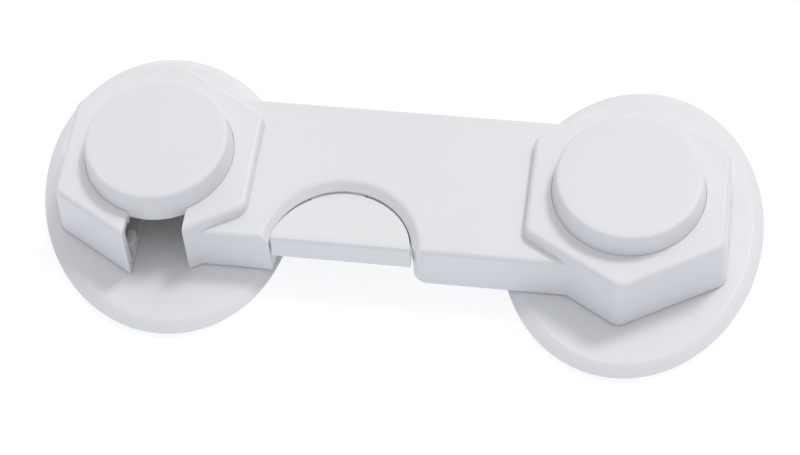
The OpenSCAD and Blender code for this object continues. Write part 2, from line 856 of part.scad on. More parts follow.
// D-shaped pad, hollow underneath, with the finger that reaches into the bar
module thumb_pad() {
    face_z = pad_top - pad_face_h;
    color(shell_white) {
        difference() {
            intersection() {
                post_at(pad_x, pad_y, face_z, pad_top, pad_r);
                behind_front(pad_set_back);
            }
            pad_roller();
            intersection() {
                post_at(pad_x, pad_y, face_z - over, pad_top - pad_dish - pad_wall, pad_r - pad_wall);
                behind_front(pad_set_back + pad_wall);
            }
        }
        translate([0, finger_y1, 0])
            rotate([90, 0, 0])
                linear_extrude(finger_y1 - finger_y0)
                    polygon([[finger_x0, finger_z], [finger_x1 - finger_t, finger_z],
                             [finger_x1, finger_top], [finger_x0, finger_top]]);
    }
}

module thumb_pad_spring() {
    color(steel)
        translate([pad_spring_x, pad_spring_y, cover_top])
            coil(small_coil_r, small_wire, finger_z - cover_top, pad_turns);
}

// Slide: fork that props the catch's ears, cross piece, rail and the nose with the ramp
module draw_bar() {
    ramp_foot = ramp_x - (finger_top - draw_z);
    color(acetal) {
        for (s = [-1, 1])
            mirror([0, s < 0 ? 1 : 0, 0]) {
                block([prong_x0, prong_y0, draw_z], [cross_x1, rail_y1, draw_top]);
                block([prong_x0, prong_y0, draw_z], [prong_x0 + ear_l, rail_y1, prong_top]);
            }
        block([cross_x0, -rail_y1, draw_z], [cross_x1, rail_y1, draw_top]);
        block([cross_x0, rail_y0, draw_z], [nose_x1, rail_y1, draw_top]);
        translate([0, rail_y1, 0])
            rotate([90, 0, 0])
                linear_extrude(nose_w)
                    polygon([[ramp_foot, draw_z], [nose_x1, draw_z], [nose_x1, nose_top],
                             [ramp_x - (finger_top - nose_top), nose_top]]);
    }
}

module draw_bar_spring() {
    color(steel)
        translate([nose_x1, draw_spring_y, draw_spring_z])
            rotate([0, 90, 0]) coil(small_coil_r, small_wire, stop_gap, draw_turns);
}

left_base_plate();
left_adhesive_pad();
keeper_pin();
right_base_plate();
right_adhesive_pad();
thrust_washer();
pivot_washer();
pivot_screw();
arm_top_shell();
arm_bottom_cover();
cover_screws();
pivot_bush();
pivot_cap();
spring_catch();
catch_clamp();
catch_screws();
spring_seat();
seat_screws();
button_spring();
push_button();
thumb_pad();
thumb_pad_spring();
draw_bar();
draw_bar_spring();
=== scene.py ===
"""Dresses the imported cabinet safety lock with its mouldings, foam tape, springs, screws and finishes.

Pieces are modelled in millimetres and brought to the frame's metres when they are finished.
"""

import json
import logging
import math
from collections.abc import Callable, Iterator
from contextlib import contextmanager
from dataclasses import dataclass
from enum import Enum

import bmesh
import bpy
from bmesh.types import BMEdge, BMFace
from bpy.types import Material, Node, NodeSocket, NodeTree, Object
from mathutils import Matrix, Vector

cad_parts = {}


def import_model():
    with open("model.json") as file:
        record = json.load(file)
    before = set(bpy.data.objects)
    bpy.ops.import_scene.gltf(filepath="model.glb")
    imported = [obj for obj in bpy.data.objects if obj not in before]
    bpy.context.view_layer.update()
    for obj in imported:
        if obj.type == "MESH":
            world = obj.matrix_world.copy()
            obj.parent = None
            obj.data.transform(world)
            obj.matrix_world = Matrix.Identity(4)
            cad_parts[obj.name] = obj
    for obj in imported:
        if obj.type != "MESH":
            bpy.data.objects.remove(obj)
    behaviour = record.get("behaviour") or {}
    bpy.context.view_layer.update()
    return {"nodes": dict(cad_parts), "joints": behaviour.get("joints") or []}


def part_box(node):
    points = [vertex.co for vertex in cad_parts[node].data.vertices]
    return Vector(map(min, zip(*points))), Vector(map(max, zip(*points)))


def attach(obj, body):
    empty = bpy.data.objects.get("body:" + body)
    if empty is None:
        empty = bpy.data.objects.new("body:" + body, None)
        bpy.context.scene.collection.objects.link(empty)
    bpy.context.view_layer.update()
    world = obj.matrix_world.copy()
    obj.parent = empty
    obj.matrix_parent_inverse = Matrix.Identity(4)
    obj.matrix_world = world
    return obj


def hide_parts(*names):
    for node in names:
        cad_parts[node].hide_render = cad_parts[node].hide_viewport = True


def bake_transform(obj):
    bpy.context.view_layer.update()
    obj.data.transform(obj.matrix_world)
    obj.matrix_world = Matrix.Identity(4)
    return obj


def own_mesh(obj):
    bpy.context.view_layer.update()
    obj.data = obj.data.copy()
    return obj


LOG = logging.getLogger("cabinet_lock")

MM = 0.001
HALF_SIDE = math.radians(30)
FLAT_TO_CORNER = 1 / math.cos(HALF_SIDE)
HEX_SIDES = 6
ROUND_STEPS = 128
ARC_STEPS = 8
OVER = 1.0
WELD = 0.0005

# Sizes that the arm and the buttons share: the shell's wall, and the notch's sides
# counted from the keeper's axis
SHELL_WALL = 2.0
NOTCH_SIDES = (-4.0, 8.8)

# Sockets of a Mix node that carry its two colours and their mix
MIX_FIRST, MIX_SECOND, MIX_RESULT = 6, 7, 2

Point = tuple[float, float, float]
Profile = list[tuple[float, float]]


class Body(Enum):
    """Bodies of the frame that new pieces ride on."""

    BASES = "bases"
    ARM = "arm"
    BUTTON = "push_button"
    PAD = "thumb_pad"


class Slot(Enum):
    """Material slots of the record."""

    PLASTIC = "white_plastic"
    FOAM = "foam_tape"
    ACETAL = "acetal"
    STEEL = "steel"


class Join(Enum):
    """Ways to put one solid to another."""

    ADD = "UNION"
    CUT = "DIFFERENCE"
    KEEP = "INTERSECT"


# Selection and editing


def deselect_all() -> None:
    """Leave edit mode and deselect every object."""
    if bpy.context.mode != "OBJECT":
        bpy.ops.object.mode_set(mode="OBJECT")
    bpy.ops.object.select_all(action="DESELECT")


def activate(obj: Object) -> None:
    """Make one object the only selected one, and the active one."""
    deselect_all()
    obj.select_set(True)
    bpy.context.view_layer.objects.active = obj


@contextmanager
def editing(obj: Object, mode: str = "EDGE") -> Iterator[None]:
    """Open an object in edit mode with nothing selected, and leave edit mode afterwards.

    Args:
        obj: The mesh object to edit.
        mode: What is selected: VERT, EDGE or FACE.

    Returns:
        A context in which edit operators act on the object.
    """
    activate(obj)
    bpy.ops.object.mode_set(mode="EDIT")
    bpy.ops.mesh.select_mode(type=mode)
    bpy.ops.mesh.select_all(action="DESELECT")
    try:
        yield
    finally:
        bpy.ops.object.mode_set(mode="OBJECT")


def pick(obj: Object, kind: str, test: Callable[..., bool]) -> int:
    """Select the elements of the mesh in edit mode that pass a test.

    Args:
        obj: The object in edit mode.
        kind: Which elements to test: verts, edges or faces.
        test: Says whether an element is wanted.

    Returns:
        How many elements were selected.
    """
    mesh = bmesh.from_edit_mesh(obj.data)
    wanted = [element for element in getattr(mesh, kind) if test(element)]
    for element in wanted:
        element.select_set(True)
    mesh.select_flush_mode()
    bmesh.update_edit_mesh(obj.data)
    return len(wanted)


def round_edges(obj: Object, test: Callable[[BMEdge], bool], width: float, segments: int = 4) -> None:
    """Bevel the edges that pass a test.

    Args:
        obj: The object to bevel.
        test: Says whether an edge is rounded.
        width: Set-back of the bevel along each face.
        segments: Facets across the rounding.
    """
    with editing(obj, "EDGE"):
        if pick(obj, "edges", test):
            bpy.ops.mesh.bevel(offset=width, segments=segments, affect="EDGES", clamp_overlap=False)


def is_upright(edge: BMEdge) -> bool:
    """Whether an edge runs more up than along."""
    run = edge.verts[1].co - edge.verts[0].co
    return abs(run.z) > run.xy.length


def at_height(z: float) -> Callable[[BMEdge], bool]:
    """A test for edges that lie at a height."""
    return lambda edge: all(abs(vert.co.z - z) < WELD for vert in edge.verts)


def weld(obj: Object) -> None:
    """Merge the corners of a mesh that lie at the same place."""
    with editing(obj, "VERT"):
        bpy.ops.mesh.select_all(action="SELECT")
        bpy.ops.mesh.remove_doubles(threshold=WELD)


# Solids to start from


def settle(obj: Object, name: str) -> Object:
    """Name a new object and put its place, turn and scale into its mesh.

    Args:
        obj: The new object.
        name: Its name.

    Returns:
        The same object, at the origin.
    """
    activate(obj)
    obj.name = name
    obj.data.name = name
    bpy.ops.object.transform_apply(location=True, rotation=True, scale=True)
    return obj


def start_box(name: str, low: Point, high: Point) -> Object:
    """Add a box from one corner to the other.

    Args:
        name: Name of the box.
        low: Lowest corner.
        high: Highest corner.

    Returns:
        The box.
    """
    deselect_all()
    centre = (Vector(low) + Vector(high)) / 2
    bpy.ops.mesh.primitive_cube_add(size=1, location=centre)
    box = bpy.context.active_object
    box.scale = Vector(high) - Vector(low)
    return settle(box, name)


def start_cylinder(
    name: str, radius: float, low: float, high: float, at: tuple[float, float], sides: int = ROUND_STEPS
) -> Object:
    """Add an upright cylinder or prism.

    Args:
        name: Name of the cylinder.
        radius: Radius to its corners.
        low: Height of its foot.
        high: Height of its top.
        at: Place of its axis.
        sides: Number of sides; the first corner points to +Y.

    Returns:
        The cylinder.
    """
    deselect_all()
    bpy.ops.mesh.primitive_cylinder_add(
        vertices=sides, radius=radius, depth=high - low, location=(*at, (low + high) / 2)
    )
    return settle(bpy.context.active_object, name)


def lathe(name: str, profile: Profile, at: tuple[float, float]) -> Object:
    """Spin a profile about an upright axis.

    Args:
        name: Name of the turned solid.
        profile: Radii and heights, from axis to axis or closed on itself.
        at: Place of the axis.

    Returns:
        The turned solid, welded and facing outwards.
    """
    deselect_all()
    bpy.ops.mesh.primitive_plane_add(size=1)
    turned = settle(bpy.context.active_object, name)
    places = [Vector((at[0] + radius, at[1], height)) for radius, height in profile]
    with editing(turned, "VERT"):
        bpy.ops.mesh.select_all(action="SELECT")
        bpy.ops.mesh.merge(type="CENTER")
        bpy.ops.transform.translate(value=places[0])
        for before, after in zip(places, places[1:]):
            bpy.ops.mesh.extrude_region_move(TRANSFORM_OT_translate={"value": after - before})
        bpy.ops.mesh.select_all(action="SELECT")
        bpy.ops.mesh.spin(steps=ROUND_STEPS, angle=math.tau, center=(*at, 0), axis=(0, 0, 1))
        bpy.ops.mesh.select_all(action="SELECT")
        bpy.ops.mesh.remove_doubles(threshold=WELD)
        bpy.ops.mesh.normals_make_consistent(inside=False)
    return turned


def arc(
    centre: tuple[float, float], radius: float, start: float, end: float, steps: int = ARC_STEPS
) -> Profile:
    """Points of an arc in a profile.

    Args:
        centre: Radius and height of the arc's centre.
        radius: Radius of the arc.
        start: First angle in degrees, from outwards towards up.
        end: Last angle in degrees.
        steps: Number of chords.

    Returns:
        The points, both ends included.
    """
    turns = [math.radians(start + (end - start) * step / steps) for step in range(steps + 1)]
    return [(centre[0] + radius * math.cos(turn), centre[1] + radius * math.sin(turn)) for turn in turns]


def put(target: Object, tool: Object, how: Join) -> None:
    """Join a tool solid to a target, or cut it out, and remove the tool.

    Args:
        target: The solid that is changed.
        tool: The solid that is used up.
        how: The way the two are joined.
    """
    activate(target)
    modifier = target.modifiers.new(tool.name, "BOOLEAN")
    modifier.object = tool
    modifier.operation = how.value
    modifier.solver = "EXACT"
    bpy.ops.object.modifier_apply(modifier=modifier.name)
    if not target.data.polygons:
        raise RuntimeError(f"{target.name} was lost when {tool.name} was put to it")
    bpy.data.objects.remove(tool)


def copy_of_node(node: str, name: str) -> Object:
    """Copy a node's mesh into a new object in millimetres, welded.

    Args:
        node: The frame's node.
        name: Name of the copy.

    Returns:
        The copy.
    """
    source = bpy.data.objects[node]
    copy = bpy.data.objects.new(name, source.data.copy())
    bpy.context.scene.collection.objects.link(copy)
    copy.scale = (1 / MM,) * 3
    settle(copy, name)
    weld(copy)
    return copy


# Finishes


def linear(code: str) -> tuple[float, float, float, float]:
    """Turn an sRGB hex colour into linear red, green, blue and alpha."""
    shares = [int(code[place : place + 2], 16) / 255 for place in (1, 3, 5)]
    red, green, blue = (
        share / 12.92 if share <= 0.04045 else ((share + 0.055) / 1.055) ** 2.4 for share in shares
    )
    return red, green, blue, 1.0


def per_metre(size_mm: float) -> float:
    """Texture scale that gives a feature of a size in millimetres on Object coordinates."""
    return 1 / (size_mm * MM)


def add_node(
    tree: NodeTree, kind: str, settings: dict[str | int, object], links: dict[str | int, NodeSocket]
) -> Node:
    """Add a node with its settings and links.

    Args:
        tree: The material's or world's node tree.
        kind: The node's type.
        settings: Values of properties or, by their names or numbers, of input sockets.
        links: Output sockets that feed the inputs of these names or numbers.

    Returns:
        The new node.
    """
    node = tree.nodes.new(kind)
    for name, value in settings.items():
        if isinstance(name, int) or name in node.inputs:
            node.inputs[name].default_value = value
        else:
            setattr(node, name, value)
    for name, socket in links.items():
        tree.links.new(socket, node.inputs[name])
    return node


def blank_material(name: str) -> tuple[Material, NodeTree]:
    """Make a material with an empty node tree.

    Args:
        name: Name of the material.

    Returns:
        The material and its tree.
    """
    material = bpy.data.materials.new(name)
    material.use_nodes = True
    material.node_tree.nodes.clear()
    return material, material.node_tree


def add_noise(tree: NodeTree, size_mm: float, detail: float, place: NodeSocket) -> NodeSocket:
    """Add a noise with features of a size in millimetres, and return the socket of its value."""
    settings = {"Scale": per_metre(size_mm), "Detail": detail}
    return add_node(tree, "ShaderNodeTexNoise", settings, {"Vector": place}).outputs[0]


def mix_colours(tree: NodeTree, first: str, second: str, share: NodeSocket) -> NodeSocket:
    """Mix two sRGB hex colours by the second one's share, and return the socket of the mix."""
    settings = {"data_type": "RGBA", MIX_FIRST: linear(first), MIX_SECOND: linear(second)}
    return add_node(tree, "ShaderNodeMix", settings, {"Factor": share}).outputs[MIX_RESULT]


def spread_out(tree: NodeTree, value: NodeSocket, low: float, high: float) -> NodeSocket:
    """Spread a value from 0 to 1 over a range, and return the socket of the result."""
    settings = {"To Min": low, "To Max": high}
    return add_node(tree, "ShaderNodeMapRange", settings, {"Value": value}).outputs["Result"]


def add_bumps(tree: NodeTree, height: NodeSocket, strength: float, depth_mm: float) -> NodeSocket:
    """Tilt the shading by the slopes of a height, and return the socket of the normal."""
    settings = {"Strength": strength, "Distance": depth_mm * MM}
    return add_node(tree, "ShaderNodeBump", settings, {"Height": height}).outputs["Normal"]


def add_surface(
    tree: NodeTree, settings: dict[str | int, object], links: dict[str | int, NodeSocket]
) -> None:
    """Add a material's shader, with its settings and links, and the material's output."""
    shader = add_node(tree, "ShaderNodeBsdfPrincipled", settings, links)
    add_node(tree, "ShaderNodeOutputMaterial", {}, {"Surface": shader.outputs["BSDF"]})


@dataclass(frozen=True)
class MouldedPlastic:
    """Opaque plastic from a satin mould: even colour, faint flow clouds and a fine eroded grain."""

    name: str
    colour: str
    cloud_colour: str
    roughness: float
    ior: float
    subsurface: float = 0.0
    scatter_mm: float = 1.5
    scatter_hue: Point = (1.0, 0.94, 0.88)
    cloud_mm: float = 22.0
    cloud_detail: float = 3.0
    grain_mm: float = 0.55
    grain_detail: float = 2.0
    grain_depth_mm: float = 0.012
    grain_strength: float = 0.35
    roughness_spread: float = 0.07

    def material(self) -> Material:
        """Build the material; the grain is drawn coarser than the real 0.1 mm so that it shows."""
        material, tree = blank_material(self.name)
        place = add_node(tree, "ShaderNodeTexCoord", {}, {}).outputs["Object"]
        clouds = add_noise(tree, self.cloud_mm, self.cloud_detail, place)
        grain = add_noise(tree, self.grain_mm, self.grain_detail, place)
        low, high = self.roughness - self.roughness_spread, self.roughness + self.roughness_spread
        add_surface(
            tree,
            {
                "IOR": self.ior,
                "Subsurface Weight": self.subsurface,
                "Subsurface Scale": self.scatter_mm * MM,
                "Subsurface Radius": self.scatter_hue,
            },
            {
                "Base Color": mix_colours(tree, self.colour, self.cloud_colour, clouds),
                "Roughness": spread_out(tree, grain, low, high),
                "Normal": add_bumps(tree, grain, self.grain_strength, self.grain_depth_mm),
            },
        )
        return material


@dataclass(frozen=True)
class FoamSheet:
    """Closed-cell foam tape: a dull sheet pitted by small round cells, with painted shade darkening each
    pit.
    """

    name: str = "closed_cell_foam_tape"
    colour: str = "#EFEEE8"
    # Darker colour painted into the pits as painted shade
    pit_shade_colour: str = "#D2D0C6"
    roughness: float = 0.92
    ior: float = 1.45
    cell_mm: float = 0.45
    cell_depth_mm: float = 0.08
    cell_strength: float = 0.6

    def material(self) -> Material:
        """Build the material; the cells are drawn larger than the real 0.2 mm so that they show."""
        material, tree = blank_material(self.name)
        place = add_node(tree, "ShaderNodeTexCoord", {}, {}).outputs["Object"]
        texture = add_node(
            tree, "ShaderNodeTexVoronoi", {"Scale": per_metre(self.cell_mm)}, {"Vector": place}
        )
        cells = texture.outputs["Distance"]
        add_surface(
            tree,
            {"Roughness": self.roughness, "IOR": self.ior},
            {
                # Painted shade: the colour darkens towards each cell's middle, where the bumps sink into a
                # pit
                "Base Color": mix_colours(tree, self.pit_shade_colour, self.colour, cells),
                "Normal": add_bumps(tree, cells, self.cell_strength, self.cell_depth_mm),
            },
        )
        return material


@dataclass(frozen=True)
class DrawnSteel:
    """Drawn or rolled steel: a grey metal with fine streaks along one axis."""

    name: str
    colour: str
    streak_colour: str
    roughness: float
    smoother: float = 0.08
    rougher: float = 0.12
    streak_mm: float = 0.3
    streak_detail: float = 4.0
    stretch: float = 8.0

    def material(self) -> Material:
        """Build the material; the streaks are drawn coarser than real drawing marks so that they show."""
        material, tree = blank_material(self.name)
        place = add_node(tree, "ShaderNodeTexCoord", {}, {}).outputs["Object"]
        along = add_node(
            tree, "ShaderNodeMapping", {"Scale": (1 / self.stretch, 1.0, 1.0)}, {"Vector": place}
        )
        streaks = add_noise(tree, self.streak_mm, self.streak_detail, along.outputs["Vector"])
        low, high = self.roughness - self.smoother, self.roughness + self.rougher
        add_surface(
            tree,
            {"Metallic": 1.0},
            {
                "Base Color": mix_colours(tree, self.colour, self.streak_colour, streaks),
                "Roughness": spread_out(tree, streaks, low, high),
            },
        )
        return material


@dataclass(frozen=True)
class Finishes:
    """The materials of the lock, each made once."""

    plastic: Material
    foam: Material
    acetal: Material
    spring_steel: Material
    plated_steel: Material

    @classmethod
    def make(cls) -> "Finishes":
        """Make every material."""
        # Satin white ABS: close to neutral white, soft wide highlights, no visible flow lines
        plastic = MouldedPlastic("satin_white_abs", "#E8E9EA", "#E4E5E6", roughness=0.44, ior=1.53)
        # Natural acetal: creamier and waxier than the ABS, light goes a little way in
        acetal = MouldedPlastic(
            "natural_acetal", "#EAE7DA", "#E2DFD0", roughness=0.34, ior=1.48, subsurface=0.1
        )
        # Spring steel: grey and fairly bright from drawing and rolling
        spring = DrawnSteel("drawn_spring_steel", "#A9ADB2", "#8E9297", roughness=0.3)
        # Zinc-plated steel: lighter and a touch bluer, with finer marks
        plated = DrawnSteel(
            "zinc_plated_steel", "#C3C8CE", "#AEB3BA", roughness=0.26, streak_mm=0.2, stretch=3.0
        )
        return cls(
            plastic=plastic.material(),
            foam=FoamSheet().material(),
            acetal=acetal.material(),
            spring_steel=spring.material(),
            plated_steel=plated.material(),
        )


# Places taken from the frame


def box_mm(node: str) -> tuple[Vector, Vector]:
    """Lowest and highest corner of a node in millimetres."""
    low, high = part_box(node)
    return low / MM, high / MM


@dataclass(frozen=True)
class Layout:
    """Places and heights of the frame that several pieces share, in millimetres."""

    keeper_x: float
    pivot_x: float
    right_plate_x: float
    tape_top: float
    plate_top: float
    arm_foot: float
    cover_top: float
    head_top: float
    seat_top: float
    button_top: float
    button_ceiling: float

    @property
    def head_axes(self) -> tuple[float, float]:
        """Places of the two heads' axes along the arm."""
        return self.keeper_x, self.pivot_x

    @classmethod
    def read(cls, joints: dict[str, dict]) -> "Layout":
        """Read the shared places from the nodes' boxes and the joints.

        Args:
            joints: The frame's joints by name.

        Returns:
            The layout.
        """
        keeper = box_mm("keeper_pin")
        right_tape = box_mm("right_adhesive_pad")
        arm = box_mm("arm_top_shell")
        spring = box_mm("button_spring")
        return cls(
            keeper_x=(keeper[0].x + keeper[1].x) / 2,
            pivot_x=joints["arm_swing"]["pos_m"][0] / MM,
            right_plate_x=(right_tape[0].x + right_tape[1].x) / 2,
            tape_top=box_mm("left_adhesive_pad")[1].z,
            plate_top=box_mm("left_base_plate")[1].z,
            arm_foot=arm[0].z,
            cover_top=box_mm("thumb_pad_spring")[0].z,
            head_top=arm[1].z,
            seat_top=spring[0].z,
            button_top=box_mm("push_button")[1].z,
            button_ceiling=spring[1].z,
        )


@dataclass(frozen=True)
class Dressing:
    """How a finished piece is dressed: its body, slot, material and the nodes that it stands for."""

    body: Body
    slot: Slot
    material: Material
    nodes: tuple[str, ...]


def complete(piece: Object, dressing: Dressing, smooth_to: float = 32.0) -> Object:
    """Weld, smooth, bring to metres and dress a modelled piece.

    Args:
        piece: The piece, in millimetres.
        dressing: Its body, slot, material and nodes.
        smooth_to: Edges sharper than this angle in degrees stay crisp.

    Returns:
        The finished piece.
    """
    weld(piece)
    piece.scale = (MM,) * 3
    settle(piece, piece.name)
    bpy.ops.object.shade_smooth_by_angle(angle=math.radians(smooth_to))
    weights = piece.modifiers.new("face_weights", "WEIGHTED_NORMAL")
    weights.keep_sharp = True
    bpy.ops.object.modifier_apply(modifier=weights.name)
    piece.data.materials.clear()
    piece.data.materials.append(dressing.material)
    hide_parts(*dressing.nodes)
    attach(piece, dressing.body.value)
    LOG.info("%s: %d faces on %s", piece.name, len(piece.data.polygons), dressing.body.value)
    return piece


# Base plates and what stands on them


@dataclass
class BasePlates:
    """The two oval plates, the foam tape under them and the keeper pin."""

    layout: Layout
    finishes: Finishes
    width: float = 58.0
    length: float = 76.0
    rim_t: float = 0.2
    rim_w: float = 2.9
    rim_steps: int = 8
    rim_power: float = 1.35
    tape_inset: float = 1.5
    tape_bulge: float = 0.2
    tape_facets: int = 3
    left_turn: float = 17.0
    right_turn: float = -5.0
    post_r: float = 5.0
    keeper_neck_r: float = 3.0
    keeper_head_t: float = 2.8
    keeper_edge_r: float = 0.8
    keeper_fillet: float = 0.7

    def oval(self, name: str, x: float, turn: float, inset: float, low: float, high: float) -> Object:
        """Start an oval prism, turned as it is stuck on.

        Args:
            name: Name of the prism.
            x: Place of its middle.
            turn: Turn in degrees.
            inset: How far its edge lies inside the plate's edge.
            low: Height of its foot.
            high: Height of its top.

        Returns:
            The prism.
        """
        prism = start_cylinder(name, 1.0, low, high, (0.0, 0.0))
        prism.scale = (self.width / 2 - inset, self.length / 2 - inset, 1.0)
        prism.rotation_euler.z = math.radians(turn)
        prism.location.x = x
        return settle(prism, name)

    def rim_left(self, step: int) -> float:
        """Share of the rim's rise that is left after a number of steps inwards."""
        return (1 - step / self.rim_steps) ** self.rim_power

    def plate(self, name: str, x: float, turn: float) -> Object:
        """Model a plate whose rim rises in a bevel that flattens towards the middle.

        Args:
            name: Name of the plate.
            x: Place of its middle.
            turn: Turn in degrees.

        Returns:
            The plate.
        """
        rim_top = self.layout.tape_top + self.rim_t
        rise = self.layout.plate_top - rim_top
        plate = self.oval(name, x, turn, 0.0, self.layout.tape_top, rim_top)
        with editing(plate, "FACE"):
            pick(plate, "faces", lambda face: face.normal.z > 0.5)
            for step in range(self.rim_steps):
                lift = rise * (self.rim_left(step) - self.rim_left(step + 1))
                bpy.ops.mesh.inset(thickness=self.rim_w / self.rim_steps, depth=lift)
        return plate

    def tape(self, name: str, x: float, turn: float) -> Object:
        """Model a foam tape whose cut edge bulges a little.

        Args:
            name: Name of the tape.
            x: Place of its middle.
            turn: Turn in degrees.

        Returns:
            The tape.
        """
        middle = self.layout.tape_top / 2
        swell = 1 + 2 * self.tape_bulge / self.width
        tape = self.oval(name, x, turn, self.tape_inset, 0.0, self.layout.tape_top)
        with editing(tape, "VERT"):
            bpy.ops.mesh.select_all(action="SELECT")
            bpy.ops.mesh.bisect(plane_co=(0, 0, middle), plane_no=(0, 0, 1))
            bpy.ops.mesh.select_all(action="DESELECT")
            pick(tape, "verts", lambda vert: abs(vert.co.z - middle) < WELD)
            bpy.ops.transform.resize(value=(swell, swell, 1.0), center_override=(x, 0.0, middle))
        round_edges(tape, at_height(middle), middle / 2, self.tape_facets)
        return tape

    def keeper(self, name: str) -> Object:
        """Turn the mushroom pin with a fillet at its foot and a rounded head.

        Args:
            name: Name of the pin.

        Returns:
            The pin.
        """
        low, high = box_mm("keeper_pin")
        head_r = (high.x - low.x) / 2
        foot = self.layout.plate_top
        head_z = high.z - self.keeper_head_t
        neck = self.keeper_neck_r
        fillet = self.keeper_fillet
        edge = self.keeper_edge_r
        profile = [
            (0.0, low.z),
            (neck - fillet, low.z),
            (neck - fillet, foot),
            (neck + fillet, foot),
            *arc((neck + fillet, foot + fillet), fillet, 270, 180)[1:],
            (neck, head_z),
            (head_r - edge / 2, head_z),
            (head_r, head_z + edge / 2),
            *arc((head_r - edge, high.z - edge), edge, 0, 90),
            (0.0, high.z),
        ]
        return lathe(name, profile, (self.layout.keeper_x, 0.0))

    def build(self) -> None:
        """Model and dress the plates, the tapes and the keeper."""
        layout = self.layout
        sides = (
            ("left", layout.keeper_x, self.left_turn),
            ("right", layout.right_plate_x, self.right_turn),
        )
        for side, x, turn in sides:
            plate = self.plate(f"{side}_plate_moulding", x, turn)
            if side == "right":
                post_top = box_mm("right_base_plate")[1].z
                post = start_cylinder(
                    "pivot_post", self.post_r, layout.plate_top - OVER, post_top, (layout.pivot_x, 0.0)
                )
                round_edges(post, at_height(post_top), self.keeper_edge_r / 2)
                put(plate, post, Join.ADD)
            nodes = (f"{side}_base_plate",)
            complete(plate, Dressing(Body.BASES, Slot.PLASTIC, self.finishes.plastic, nodes))
            tape = self.tape(f"{side}_foam_tape", x, turn)
            nodes = (f"{side}_adhesive_pad",)
            complete(tape, Dressing(Body.BASES, Slot.FOAM, self.finishes.foam, nodes))
        keeper = self.keeper("keeper_moulding")
        complete(keeper, Dressing(Body.BASES, Slot.ACETAL, self.finishes.acetal, ("keeper_pin",)))


# Round button and pivot cap


@dataclass
class RoundButtons:
    """The push button over the keeper and the cap of the same shape over the pivot."""

    layout: Layout
    finishes: Finishes
    foot_d: float = 33.6
    top_d: float = 32.2
    edge_r: float = 0.9
    dome: float = 0.15
    dome_steps: int = 5
    wall: float = 1.8
    hole_gap: float = 0.2
    flange_w: float = 1.0
    flange_t: float = 1.2
    keeper_way: tuple[float, float] = NOTCH_SIDES
    keeper_way_back: float = 13.6
    leg_in: float = 7.0
    leg_t: float = 2.0
    leg_w: float = 8.0
    leg_shoulder_w: float = 10.8
    leg_foot_gap: float = 0.3
    shoulder_lift: float = 3.4

    def crown(self) -> Profile:
        """Profile of the outside from the head's top over the rounded edge to the slightly domed middle."""
        top_r = self.top_d / 2 - self.edge_r
        rim = self.layout.button_top - self.dome
        turns = [math.pi / 2 * step / self.dome_steps for step in range(1, self.dome_steps)]
        return [
            (self.foot_d / 2, self.layout.head_top),
            *arc((top_r, rim - self.edge_r), self.edge_r, 0, 90),
            *((top_r * math.cos(turn), rim + self.dome * math.sin(turn)) for turn in turns),
            (0.0, self.layout.button_top),
        ]

    def body(self, name: str, x: float, skirt_foot: float) -> Object:
        """Turn a hollow button with its flange and skirt.

        Args:
            name: Name of the button.
            x: Place of its axis.
            skirt_foot: Height of the skirt's lower end.

        Returns:
            The button.
        """
        ceiling = self.layout.head_top - SHELL_WALL
        flange_foot = ceiling - self.flange_t
        foot_r = self.foot_d / 2
        flange_r = foot_r + self.hole_gap + self.flange_w
        inner_r = foot_r - self.wall
        step_down = [(foot_r, flange_foot), (foot_r, skirt_foot)] if skirt_foot < flange_foot else []
        profile = [
            (0.0, self.layout.button_ceiling),
            (inner_r - self.edge_r, self.layout.button_ceiling),
            (inner_r, self.layout.head_top),
            (inner_r, skirt_foot),
            *reversed(step_down),
            (flange_r, flange_foot),
            (flange_r, ceiling),
            (foot_r, ceiling),
            *self.crown(),
        ]
        return lathe(name, profile, (x, 0.0))

    def add_legs(self, button: Object) -> None:
        """Put the two legs that straddle the keeper under the push button.

        Args:
            button: The push button.
        """
        catch_top = box_mm("spring_catch")[1].z
        top = self.layout.button_ceiling + self.leg_foot_gap
        levels = (
            (self.leg_w, catch_top + self.leg_foot_gap),
            (self.leg_shoulder_w, self.layout.seat_top + self.shoulder_lift),
        )
        for side in (-1, 1):
            x = self.layout.keeper_x + side * (self.leg_in + self.leg_t / 2)
            for width, foot in levels:
                leg = start_box(
                    "button_leg",
                    (x - self.leg_t / 2, -width / 2, foot),
                    (x + self.leg_t / 2, width / 2, top),
                )
                put(button, leg, Join.ADD)

    def build(self) -> None:
        """Model and dress the push button and the pivot cap."""
        layout = self.layout
        ceiling = layout.head_top - SHELL_WALL
        button = self.body("push_button_moulding", layout.keeper_x, ceiling - self.flange_t)
        way_low = (layout.keeper_x + self.keeper_way[0], -self.foot_d, 0.0)
        way_high = (layout.keeper_x + self.keeper_way[1], -self.keeper_way_back, ceiling)
        put(button, start_box("keeper_way", way_low, way_high), Join.CUT)
        self.add_legs(button)
        plastic = self.finishes.plastic
        complete(button, Dressing(Body.BUTTON, Slot.PLASTIC, plastic, ("push_button",)))
        cap = self.body("pivot_cap_moulding", layout.pivot_x, layout.cover_top)
        complete(cap, Dressing(Body.ARM, Slot.PLASTIC, plastic, ("pivot_cap",)))


# Arm and thumb pad


